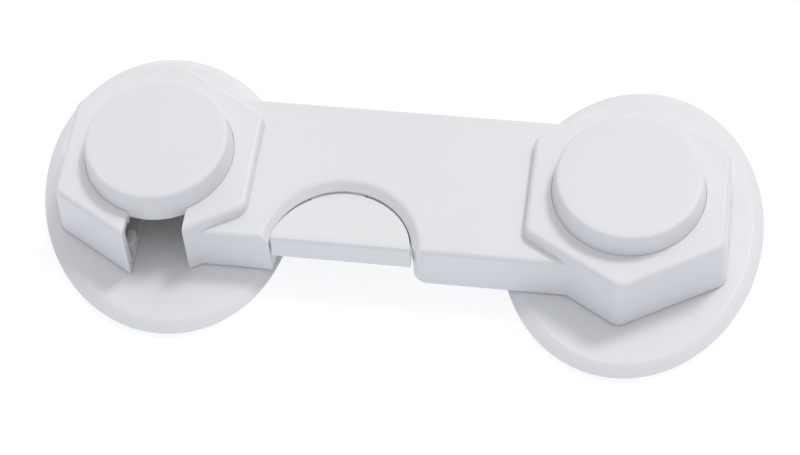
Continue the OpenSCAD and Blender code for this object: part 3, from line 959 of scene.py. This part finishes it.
@dataclass
class Arm:
    """The arm's shell with its two hexagonal heads, and the D-shaped thumb pad in its front edge."""

    layout: Layout
    finishes: Finishes
    head_r: float = 25.0
    draft: float = 1.1
    wall: float = SHELL_WALL
    bar_w: float = 37.2
    bar_h: float = 11.4
    corner_r: float = 2.8
    corner_facets: int = 6
    edge_r: float = 1.1
    edge_facets: int = 5
    inner_corner_r: float = 0.8
    inner_edge_r: float = 0.4
    hole_r: float = 16.86
    hole_edge: float = 0.05
    notch: tuple[float, float] = NOTCH_SIDES
    notch_back: float = 14.0
    cut_edge: float = 0.3
    cut_facets: int = 3
    pad_r: float = 15.5
    pad_sink: float = 0.8
    pad_gap: float = 0.4
    pad_set_back: float = 0.2
    pad_wall: float = 1.8
    pad_front_edge: float = 1.1
    pad_front_facets: int = 6
    dish_r: float = 60.0
    dish_steps: int = 4 * ROUND_STEPS
    dish_depth: float = 2.0
    dish_rim: float = 0.4
    pocket_wall: float = 1.6
    scoop_w: float = 2.2
    scoop_depth: float = 1.5
    scoop_edge: float = 0.4
    lead_r: float = 4.0
    bite: float = 0.05
    finger_x: tuple[float, float] = (-8.5, 3.5)
    finger_z: tuple[float, float] = (9.2, 11.9)
    boss_r: float = 2.1
    boss_sides: int = 32
    rib_pitch: float = 8.0
    rib_y: tuple[float, float] = (8.3, 11.3)
    rib_t: float = 1.6
    rib_foot: float = 7.9

    @property
    def slope(self) -> float:
        """How much the drafted walls stand out for each millimetre down."""
        return self.draft / (self.layout.head_top - self.layout.arm_foot)

    @property
    def bar_top(self) -> float:
        """Height of the bar's top face."""
        return self.layout.arm_foot + self.bar_h

    @property
    def pad_at(self) -> tuple[float, float]:
        """Centre of the pad's round back."""
        low, high = box_mm("thumb_pad")
        return (low.x + high.x) / 2, -self.bar_w / 2 - self.pad_sink

    @property
    def pocket_r(self) -> float:
        """Radius of the pocket round the pad."""
        return self.pad_r + self.pad_gap

    def head(self, name: str, x: float, foot: float, top: float, inset: float) -> Object:
        """Model a hexagonal head, drafted and rounded, or the hollow inside it.

        Args:
            name: Name of the form.
            x: Place of its axis.
            foot: Height of its foot.
            top: Height of its top.
            inset: How far its walls lie inside the head's outside.

        Returns:
            The form.
        """

        def corner(z: float) -> float:
            """Centre to corner at a height."""
            stand_out = self.slope * (self.layout.head_top - z)
            return self.head_r + (stand_out - inset) * FLAT_TO_CORNER

        form = start_cylinder(name, corner(top), foot, top, (x, 0.0), sides=HEX_SIDES)
        spread = corner(foot) / corner(top)
        with editing(form, "VERT"):
            pick(form, "verts", lambda vert: vert.co.z < (foot + top) / 2)
            bpy.ops.transform.resize(value=(spread, spread, 1.0), center_override=(x, 0.0, foot))
        upright = max(self.corner_r - inset, self.inner_corner_r)
        top_edge = max(self.edge_r - inset, self.inner_edge_r)
        round_edges(form, is_upright, upright * math.tan(HALF_SIDE), self.corner_facets)
        round_edges(form, at_height(top), top_edge, self.edge_facets)
        return form

    def bar(self, name: str, foot: float, top: float, inset: float) -> Object:
        """Model the bar between the heads, drafted and rounded, or the hollow inside it.

        Args:
            name: Name of the form.
            foot: Height of its foot.
            top: Height of its top.
            inset: How far its walls lie inside the bar's outside.

        Returns:
            The form.
        """

        def half(z: float) -> float:
            """Half of the width at a height."""
            return self.bar_w / 2 + self.slope * (self.bar_top - z) - inset

        low = (self.layout.keeper_x, -half(top), foot)
        form = start_box(name, low, (self.layout.pivot_x, half(top), top))
        with editing(form, "VERT"):
            pick(form, "verts", lambda vert: vert.co.z < (foot + top) / 2)
            spread = half(foot) / half(top)
            bpy.ops.transform.resize(value=(1.0, spread, 1.0), center_override=(0.0, 0.0, foot))
        at_top = at_height(top)
        round_edges(
            form,
            lambda edge: at_top(edge) and abs(edge.verts[0].co.y - edge.verts[1].co.y) < WELD,
            max(self.edge_r - inset, self.inner_edge_r),
            self.edge_facets,
        )
        return form

    def form(self, name: str, foot: float, inset: float) -> Object:
        """Join two heads and the bar into one form.

        Args:
            name: Name of the form.
            foot: Height of its foot.
            inset: How far its walls and tops lie inside the outside.

        Returns:
            The form.
        """
        layout = self.layout
        whole = self.bar(name, foot, self.bar_top - inset, inset)
        for x in layout.head_axes:
            put(whole, self.head("head_form", x, foot, layout.head_top - inset, inset), Join.ADD)
        return whole

    def add_fittings(self, shell: Object) -> None:
        """Add the pocket's wall, the screw bosses and the ribs over the draw bar inside the shell.

        Args:
            shell: The hollow shell.
        """
        layout = self.layout
        under = self.bar_top - self.wall / 2
        x, y = self.pad_at
        front = -self.bar_w / 2
        ring_r = self.pocket_r + self.pocket_wall
        ring = start_cylinder("pocket_ring", ring_r, layout.arm_foot, under, (x, y))
        reach = 2 * self.pocket_r
        keep = start_box("behind_front", (x - reach, front, 0.0), (x + reach, -front, layout.head_top))
        put(ring, keep, Join.KEEP)
        put(shell, ring, Join.ADD)
        depth = self.lead_r + self.wall
        corner = start_box(
            "pocket_corner",
            (x + self.pocket_r - self.pocket_wall, front, layout.arm_foot),
            (x + self.pocket_r + depth, front + depth, under),
        )
        put(shell, corner, Join.ADD)
        for place in screw_places("cover_screws"):
            near_head = any(abs(place.x - head_x) < self.head_r for head_x in layout.head_axes)
            top = (layout.head_top if near_head else self.bar_top) - self.wall / 2
            boss = start_cylinder(
                "screw_boss", self.boss_r, layout.cover_top, top, place.xy, sides=self.boss_sides
            )
            put(shell, boss, Join.ADD)
        root_x = box_mm("spring_catch")[1].x
        for rib_x in (root_x - self.rib_pitch, root_x):
            rib = start_box(
                "hold_down_rib",
                (rib_x, self.rib_y[0], self.rib_foot),
                (rib_x + self.rib_t, self.rib_y[1], under),
            )
            put(shell, rib, Join.ADD)

    def scoop(self) -> Object:
        """Turn the cutter that slopes the pocket's upper edge and runs out softly into the bar's top."""
        inner = self.pocket_r
        outer = inner + self.scoop_w
        edge = self.bar_top - self.bite
        foot = edge - self.scoop_depth
        knee = self.scoop_edge * self.scoop_w
        rise = self.scoop_depth * knee / (self.scoop_w - knee / 2) / 2
        steps = [step / ARC_STEPS for step in range(ARC_STEPS + 1)]
        run_out = [(outer - knee * (1 - step), edge - rise * (1 - step) ** 2) for step in steps]
        profile = [
            (0.0, foot),
            (inner, foot),
            *run_out,
            (outer + self.bite, self.bar_top + OVER),
            (0.0, self.bar_top + OVER),
        ]
        return lathe("scoop", profile, self.pad_at)

    def lead(self) -> Object:
        """Model the cutter that rounds the bar's upright corner at the pocket's right end."""
        x, y = self.pad_at
        front = -self.bar_w / 2
        low, high = -OVER, self.layout.head_top
        centre_y = front + self.lead_r - self.bite
        reach = self.pocket_r + self.lead_r - self.bite
        centre_x = x + math.sqrt(reach**2 - (centre_y - y) ** 2)
        touch_x = x + (centre_x - x) * self.pocket_r / reach
        cutter = start_box("lead", (touch_x - OVER / 2, front - OVER, low), (centre_x, centre_y, high))
        rounding = start_cylinder(
            "lead_rounding", self.lead_r, low - OVER, high + OVER, (centre_x, centre_y)
        )
        put(cutter, rounding, Join.CUT)
        hinge = Matrix.Translation((0.0, front, self.bar_top))
        lean = Matrix.Rotation(-math.atan(self.slope), 4, "X")
        cutter.matrix_world = hinge @ lean @ hinge.inverted()
        return settle(cutter, "lead")

    def cut_openings(self, shell: Object) -> None:
        """Cut the thumb pocket, the finger's window, the button holes and the keeper's notch.

        The notch runs back into the push button's hole.

        Args:
            shell: The shell with its fittings.
        """
        layout = self.layout
        x, y = self.pad_at
        put(shell, start_cylinder("pocket", self.pocket_r, -OVER, layout.head_top, (x, y)), Join.CUT)
        put(shell, self.scoop(), Join.CUT)
        put(shell, self.lead(), Join.CUT)
        travel = self.finger_z[1] - self.finger_z[0]
        window = start_box(
            "finger_window",
            (x + self.finger_x[0] - self.pad_gap, y + self.pad_r / 2, self.finger_z[0] - travel - OVER),
            (
                x + self.finger_x[1] + self.pad_gap,
                y + self.pocket_r + self.pocket_wall + OVER,
                self.bar_top - self.wall,
            ),
        )
        put(shell, window, Join.CUT)
        for hole_x in layout.head_axes:
            edge = layout.head_top - self.hole_edge
            profile = [
                (0.0, edge - 2 * self.wall),
                (self.hole_r, edge - 2 * self.wall),
                (self.hole_r, edge),
                (self.hole_r + 2 * self.hole_edge, edge + 2 * self.hole_edge),
                (0.0, edge + 2 * self.hole_edge),
            ]
            put(shell, lathe("button_hole", profile, (hole_x, 0.0)), Join.CUT)
        low = (layout.keeper_x + self.notch[0], -2 * self.head_r, -OVER)
        high = (layout.keeper_x + self.notch[1], -self.notch_back, layout.head_top + OVER)
        put(shell, start_box("notch", low, high), Join.CUT)

    def soften_cuts(self, shell: Object) -> None:
        """Round the outside edges of the notch and the pocket's left edge, as a mould leaves them.

        Args:
            shell: The shell with its openings.
        """
        axis = Vector((self.layout.keeper_x, 0.0))
        sides = [self.layout.keeper_x + side for side in self.notch]
        pad = Vector(self.pad_at)
        # Share of a face's normal along a direction from which the face counts as facing that way
        sideways, upwards, outwards, frontwards = 0.99, 0.3, 0.6, 0.9

        def in_notch(face: BMFace) -> bool:
            """Whether a face is a cut face of the notch."""
            centre = face.calc_center_median()
            on_side = any(abs(centre.x - side) < WELD for side in sides)
            return on_side and abs(face.normal.x) > sideways and centre.y < -self.notch_back

        def outside(face: BMFace) -> bool:
            """Whether a face belongs to the left head's outside."""
            outward = (face.calc_center_median().xy - axis).normalized()
            return face.normal.z > upwards or face.normal.xy.dot(outward) > outwards

        def notch_edge(edge: BMEdge) -> bool:
            """Whether an edge lies between a cut face of the notch and the head's outside."""
            if len(edge.link_faces) != 2:
                return False
            cuts = [in_notch(face) for face in edge.link_faces]
            return cuts[0] != cuts[1] and outside(edge.link_faces[cuts.index(False)])

        def stub_edge(edge: BMEdge) -> bool:
            """Whether an edge lies between the pocket's left end and the bar's front face."""
            if len(edge.link_faces) != 2 or edge.verts[0].co.x > pad.x:
                return False
            fronts = [face.normal.y < -frontwards for face in edge.link_faces]
            if fronts[0] == fronts[1]:
                return False
            middle = edge.link_faces[fronts.index(False)].calc_center_median().xy
            return abs((middle - pad).length - self.pocket_r) < self.pad_gap / 2

        round_edges(shell, notch_edge, self.cut_edge, self.cut_facets)
        round_edges(shell, stub_edge, self.cut_edge, self.cut_facets)

    def shell(self) -> Object:
        """Model the whole shell."""
        layout = self.layout
        shell = self.form("arm_moulding", layout.arm_foot, 0.0)
        put(shell, self.form("hollow", layout.arm_foot - OVER, self.wall), Join.CUT)
        self.add_fittings(shell)
        self.cut_openings(shell)
        self.soften_cuts(shell)
        return shell

    def split_behind_front(self, solid: Object, set_back: float) -> None:
        """Cut a solid off along the bar's drafted front face.

        Args:
            solid: The solid to cut.
            set_back: How far the cut lies behind the front face.
        """
        with editing(solid, "VERT"):
            bpy.ops.mesh.select_all(action="SELECT")
            bpy.ops.mesh.bisect(
                plane_co=(0.0, -self.bar_w / 2 + set_back, self.bar_top),
                plane_no=(0.0, 1.0, -self.slope),
                use_fill=True,
                clear_inner=True,
            )

    def dish(self) -> Object:
        """Model the wide roller that hollows the pad's top towards its round back."""
        top = box_mm("thumb_pad")[1].z
        x, y = self.pad_at
        rim = -self.bar_w / 2 + self.pad_set_back + self.pad_front_edge + self.dish_rim
        front = Vector((rim, top))
        back = Vector((y + self.pad_r, top - self.dish_depth))
        chord = back - front
        lift = math.sqrt(self.dish_r**2 - (chord.length / 2) ** 2)
        centre = (front + back) / 2 + chord.orthogonal().normalized() * lift
        reach = self.pad_r + OVER
        roller = start_cylinder("dish", self.dish_r, -reach, reach, (0.0, 0.0), self.dish_steps)
        roller.rotation_euler.y = math.pi / 2
        roller.location = (x, centre.x, centre.y)
        return settle(roller, "dish")

    def thumb_pad(self) -> Object:
        """Model the D-shaped pad with its rounded edges, hollow underside and ramped finger."""
        low, high = box_mm("thumb_pad")
        x, y = self.pad_at
        pad = start_cylinder("thumb_pad_moulding", self.pad_r, low.z, high.z, (x, y))
        self.split_behind_front(pad, self.pad_set_back)
        front = -self.bar_w / 2 + self.pad_set_back + OVER
        at_top = at_height(high.z)

        def front_top(edge: BMEdge) -> bool:
            """Whether an edge is the straight top edge of the front face."""
            at_front = all(vert.co.y < front for vert in edge.verts)
            return at_top(edge) and at_front and edge.calc_length() > self.pad_r

        round_edges(pad, front_top, self.pad_front_edge, self.pad_front_facets)
        put(pad, self.dish(), Join.CUT)
        hollow_top = high.z - self.dish_depth - self.pad_wall
        hollow = start_cylinder("pad_hollow", self.pad_r - self.pad_wall, low.z - OVER, hollow_top, (x, y))
        self.split_behind_front(hollow, self.pad_set_back + self.pad_wall)
        put(pad, hollow, Join.CUT)
        root = y + self.pad_r - self.pad_wall
        finger = start_box(
            "finger",
            (x + self.finger_x[0], root - OVER, self.finger_z[0]),
            (x + self.finger_x[1], high.y, self.finger_z[1]),
        )
        with editing(finger, "VERT"):
            pick(finger, "verts", lambda vert: vert.co.x > x and vert.co.z < self.finger_z[0] + WELD)
            bpy.ops.transform.translate(value=(self.finger_z[0] - self.finger_z[1], 0.0, 0.0))
        put(pad, finger, Join.ADD)
        return pad

    def build(self) -> None:
        """Model and dress the shell and the thumb pad."""
        plastic = self.finishes.plastic
        complete(self.shell(), Dressing(Body.ARM, Slot.PLASTIC, plastic, ("arm_top_shell",)))
        complete(self.thumb_pad(), Dressing(Body.PAD, Slot.PLASTIC, plastic, ("thumb_pad",)))


# Springs and screws


def screw_places(node: str) -> list[Vector]:
    """Find where a node's separate screws stand.

    Args:
        node: A node that is a group of equal solids.

    Returns:
        The middle of each solid's foot, in millimetres.
    """
    group = copy_of_node(node, "screw_group")
    with editing(group, "VERT"):
        bpy.ops.mesh.select_all(action="SELECT")
        bpy.ops.mesh.separate(type="LOOSE")
    parts = list(bpy.context.selected_objects)
    places = []
    for part in parts:
        corners = [Vector(corner) for corner in part.bound_box]
        middle = sum(corners, Vector()) / len(corners)
        places.append(Vector((middle.x, middle.y, min(corner.z for corner in corners))))
        bpy.data.objects.remove(part)
    return sorted(places, key=lambda place: (place.x, place.y))


@dataclass
class Hardware:
    """The coil springs, the catch leaf cut into strips and the screws that hold the cover."""

    layout: Layout
    finishes: Finishes
    joints: dict[str, dict]
    screw_r: float = 1.0
    screw_head_r: float = 2.0
    screw_rim: float = 0.1
    screw_length: float = 8.0
    recess_w: float = 0.55
    recess_l: float = 2.3
    recess_depth: float = 0.9
    button_wire: float = 0.8
    button_turns: int = 4
    small_wire: float = 0.45
    pad_turns: int = 3
    draw_turns: int = 6
    wire_sides: int = 14
    wire_smooth_to: float = 50.0
    steps_per_turn: int = 40
    leaf_end_x: float = -42.9
    leaf_cuts: int = 10

    def coil(self, name: str, node: str, along: str, wire: float, turns: int) -> Object:
        """Sweep a wire's section along a helix that fits a spring's node.

        Args:
            name: Name of the coil.
            node: The spring's node.
            along: Axis of the coil: Z or X.
            wire: Diameter of the wire.
            turns: Number of turns.

        Returns:
            The coil.
        """
        low, high = box_mm(node)
        size = high - low
        length = size.z if along == "Z" else size.x
        radius = (size.y - wire) / 2
        deselect_all()
        bpy.ops.mesh.primitive_circle_add(
            vertices=self.wire_sides,
            radius=wire / 2,
            location=(radius, 0.0, wire / 2),
            rotation=(math.pi / 2, 0.0, 0.0),
        )
        coil = settle(bpy.context.active_object, name)
        screw = coil.modifiers.new("winding", "SCREW")
        screw.angle = math.tau
        screw.screw_offset = (length - wire) / turns
        screw.iterations = turns
        screw.steps = screw.render_steps = self.steps_per_turn
        bpy.ops.object.modifier_apply(modifier=screw.name)
        with editing(coil, "EDGE"):
            bpy.ops.mesh.select_all(action="SELECT")
            bpy.ops.mesh.remove_doubles(threshold=WELD)
            bpy.ops.mesh.fill_holes(sides=0)
            bpy.ops.mesh.select_all(action="SELECT")
            bpy.ops.mesh.normals_make_consistent(inside=False)
        middle = (low + high) / 2
        if along == "X":
            coil.rotation_euler.y = math.pi / 2
            coil.location = (low.x, middle.y, middle.z)
        else:
            coil.location = (middle.x, middle.y, low.z)
        return settle(coil, name)

    def spring(self, node: str, joint: str, along: str, wire: float, turns: int) -> None:
        """Make a coil spring that fits a spring's node.

        Args:
            node: The spring's node.
            joint: The slide that presses it; not used.
            along: Axis of the coil: Z is pressed down, X is pressed to the right.
            wire: Diameter of the wire.
            turns: Number of turns.
        """
        coil = self.coil(f"{node}_coil", node, along, wire, turns)
        dressing = Dressing(Body.ARM, Slot.STEEL, self.finishes.spring_steel, (node,))
        complete(coil, dressing, smooth_to=self.wire_smooth_to)
        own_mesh(coil)

    def catch_leaf(self) -> None:
        """Copy the catch as a leaf cut across into strips along its length."""
        leaf = copy_of_node("spring_catch", "catch_leaf")
        root_x = box_mm("catch_clamp")[0].x
        for step in range(self.leaf_cuts + 1):
            x = root_x + (self.leaf_end_x - root_x) * step / self.leaf_cuts
            with editing(leaf, "VERT"):
                bpy.ops.mesh.select_all(action="SELECT")
                bpy.ops.mesh.bisect(plane_co=(x, 0.0, 0.0), plane_no=(1.0, 0.0, 0.0))
        dressing = Dressing(Body.ARM, Slot.STEEL, self.finishes.spring_steel, ("spring_catch",))
        complete(leaf, dressing)
        # The leaf is taken off the arm's body and kept where it stands
        leaf.parent = None
        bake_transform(leaf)

    def cover_screws(self) -> None:
        """Model one countersunk screw with a cross recess and put a copy at each of the cover's holes."""
        places = screw_places("cover_screws")
        head, shank = self.screw_head_r, self.screw_r
        profile = [
            (0.0, 0.0),
            (head - self.screw_rim, 0.0),
            (head, self.screw_rim),
            (shank, head - shank),
            (shank, self.screw_length - shank / 2),
            (shank / 2, self.screw_length),
            (0.0, self.screw_length),
        ]
        screw = lathe("cover_screw_set", profile, (0.0, 0.0))
        for half in ((self.recess_l / 2, self.recess_w / 2), (self.recess_w / 2, self.recess_l / 2)):
            slot = start_box("recess", (-half[0], -half[1], -OVER), (half[0], half[1], self.recess_depth))
            put(screw, slot, Join.CUT)
        copies = []
        for place in places:
            activate(screw)
            bpy.ops.object.duplicate(linked=False)
            copy = bpy.context.active_object
            copy.location = place
            copies.append(copy)
        bpy.data.objects.remove(screw)
        activate(copies[0])
        for copy in copies:
            copy.select_set(True)
        bpy.ops.object.join()
        joined = settle(bpy.context.active_object, "cover_screw_set")
        complete(joined, Dressing(Body.ARM, Slot.STEEL, self.finishes.plated_steel, ("cover_screws",)))

    def build(self) -> None:
        """Model and dress the springs, the leaf and the screws."""
        self.spring("button_spring", "button_press", "Z", self.button_wire, self.button_turns)
        self.spring("thumb_pad_spring", "pad_press", "Z", self.small_wire, self.pad_turns)
        self.spring("draw_bar_spring", "draw_bar_slide", "X", self.small_wire, self.draw_turns)
        self.catch_leaf()
        self.cover_screws()


def dress_kept_nodes(nodes: dict[str, Object], finishes: Finishes) -> None:
    """Give the nodes that stay as they are their materials.

    Args:
        nodes: The frame's nodes by name.
        finishes: The lock's materials.
    """
    kept = {
        "arm_bottom_cover": finishes.plastic,
        "thrust_washer": finishes.acetal,
        "pivot_bush": finishes.acetal,
        "spring_seat": finishes.acetal,
        "draw_bar": finishes.acetal,
        "pivot_washer": finishes.plated_steel,
        "pivot_screw": finishes.plated_steel,
        "seat_screws": finishes.plated_steel,
        "catch_screws": finishes.plated_steel,
        "catch_clamp": finishes.spring_steel,
    }
    for name, material in kept.items():
        nodes[name].data.materials.clear()
        nodes[name].data.materials.append(material)
        LOG.info("%s: kept with %s", name, material.name)


# Studio


@dataclass(frozen=True)
class Lamp:
    """A far lamp: colour, watts for each square metre, width, height and direction in degrees."""

    name: str
    colour: str
    strength: float
    spread: float
    elevation: float
    azimuth: float

    def build(self) -> None:
        """Put the lamp in the scene, its direction counted from +X towards +Y."""
        data = bpy.data.lights.new(self.name, "SUN")
        data.energy = self.strength
        data.color = linear(self.colour)[:3]
        data.angle = math.radians(self.spread)
        lamp = bpy.data.objects.new(self.name, data)
        bpy.context.scene.collection.objects.link(lamp)
        lamp.rotation_euler = (0.0, math.radians(90 - self.elevation), math.radians(self.azimuth))


@dataclass
class Studio:
    """White table, soft light from behind and the right, and the camera of the picture."""

    target: Point = (1.56, -3.98, 0.0)
    distance: float = 475.9
    elevation: float = 57.35
    heading: float = 13.26
    roll: float = -6.35
    lens: float = 94.4
    sensor: float = 36.0
    nearest: float = 10.0
    table_side: float = 4000.0
    table_drop: float = 0.2
    table_colour: str = "#F8F9FC"
    table_glow: float = 0.8
    table_light: float = 0.27
    table_light_colour: str = "#E9F0FF"
    key: Lamp = Lamp("key", "#FFFFFF", strength=1.03, spread=13.0, elevation=57.0, azimuth=55.0)
    overhead: Lamp = Lamp(
        "overhead", "#FFFFFF", strength=0.76, spread=105.0, elevation=68.0, azimuth=78.0
    )
    fill: Lamp = Lamp("fill", "#DEE8FF", strength=0.48, spread=60.0, elevation=7.0, azimuth=-100.0)
    sky_colour: str = "#FAFCFF"
    sky_strength: float = 0.4

    def camera(self) -> None:
        """Put the camera where the picture was taken from."""
        data = bpy.data.cameras.new("picture_camera")
        data.sensor_fit = "HORIZONTAL"
        data.sensor_width = self.sensor
        data.lens = self.lens
        data.clip_start = self.nearest * MM
        camera = bpy.data.objects.new("picture_camera", data)
        bpy.context.scene.collection.objects.link(camera)
        turn = (
            Matrix.Rotation(math.radians(self.heading), 4, "Z")
            @ Matrix.Rotation(math.radians(90 - self.elevation), 4, "X")
            @ Matrix.Rotation(math.radians(self.roll), 4, "Z")
        )
        place = Vector(self.target) + turn.col[2].xyz * self.distance
        camera.matrix_world = Matrix.Translation(place * MM) @ turn
        bpy.context.scene.camera = camera

    def seen(self, tree: NodeTree) -> NodeSocket:
        """Tell rays that end in the picture, straight, mirrored or let through, from rays of light.

        Args:
            tree: The node tree that asks.

        Returns:
            A socket that is 1 for rays that end in the picture.
        """
        ray = add_node(tree, "ShaderNodeLightPath", {}, {})
        seen = ray.outputs["Is Camera Ray"]
        for kind in ("Is Glossy Ray", "Is Transmission Ray"):
            links = {0: seen, 1: ray.outputs[kind]}
            seen = add_node(tree, "ShaderNodeMath", {"operation": "MAXIMUM"}, links).outputs[0]
        return seen

    def table(self) -> None:
        """Lay the white table, which the camera sees lifted towards white with the shadows kept."""
        deselect_all()
        bpy.ops.mesh.primitive_plane_add(
            size=self.table_side * MM, location=(0.0, 0.0, -self.table_drop * MM)
        )
        table = settle(bpy.context.active_object, "table")
        material, tree = blank_material("white_table")
        paper = add_node(tree, "ShaderNodeBsdfDiffuse", {"Color": linear(self.table_colour)}, {})
        under_light = add_node(
            tree,
            "ShaderNodeEmission",
            {"Color": linear(self.table_light_colour), "Strength": self.table_light},
            {},
        )
        lit_paper = add_node(
            tree, "ShaderNodeAddShader", {}, {0: paper.outputs["BSDF"], 1: under_light.outputs["Emission"]}
        )
        glow = add_node(tree, "ShaderNodeEmission", {"Strength": 1.0}, {})
        share = add_node(
            tree, "ShaderNodeMath", {"operation": "MULTIPLY", 1: self.table_glow}, {0: self.seen(tree)}
        )
        mixed = add_node(
            tree,
            "ShaderNodeMixShader",
            {},
            {0: share.outputs[0], 1: lit_paper.outputs["Shader"], 2: glow.outputs["Emission"]},
        )
        add_node(tree, "ShaderNodeOutputMaterial", {}, {"Surface": mixed.outputs["Shader"]})
        table.data.materials.append(material)

    def light(self) -> None:
        """Light the lock with the lamps and an even sky that the camera sees as white."""
        for lamp in (self.key, self.overhead, self.fill):
            lamp.build()
        world = bpy.data.worlds.new("even_sky")
        bpy.context.scene.world = world
        world.use_nodes = True
        tree = world.node_tree
        tree.nodes.clear()
        sky = add_node(
            tree,
            "ShaderNodeBackground",
            {"Color": linear(self.sky_colour), "Strength": self.sky_strength},
            {},
        )
        white = add_node(tree, "ShaderNodeBackground", {"Color": linear("#FFFFFF"), "Strength": 1.0}, {})
        mixed = add_node(
            tree,
            "ShaderNodeMixShader",
            {},
            {0: self.seen(tree), 1: sky.outputs["Background"], 2: white.outputs["Background"]},
        )
        add_node(tree, "ShaderNodeOutputWorld", {}, {"Surface": mixed.outputs["Shader"]})
        bpy.context.scene.view_settings.view_transform = "Standard"

    def build(self) -> None:
        """Set up the camera, the table and the light."""
        self.camera()
        self.table()
        self.light()


def main() -> None:
    """Load the frame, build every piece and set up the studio."""
    logging.basicConfig(level=logging.INFO, format="%(name)s: %(message)s")
    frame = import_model()
    joints = {joint["name"]: joint for joint in frame["joints"]}
    layout = Layout.read(joints)
    finishes = Finishes.make()
    Studio().build()
    BasePlates(layout, finishes).build()
    RoundButtons(layout, finishes).build()
    Arm(layout, finishes).build()
    Hardware(layout, finishes, joints).build()
    dress_kept_nodes(frame["nodes"], finishes)


if __name__ == "__main__":
    main()
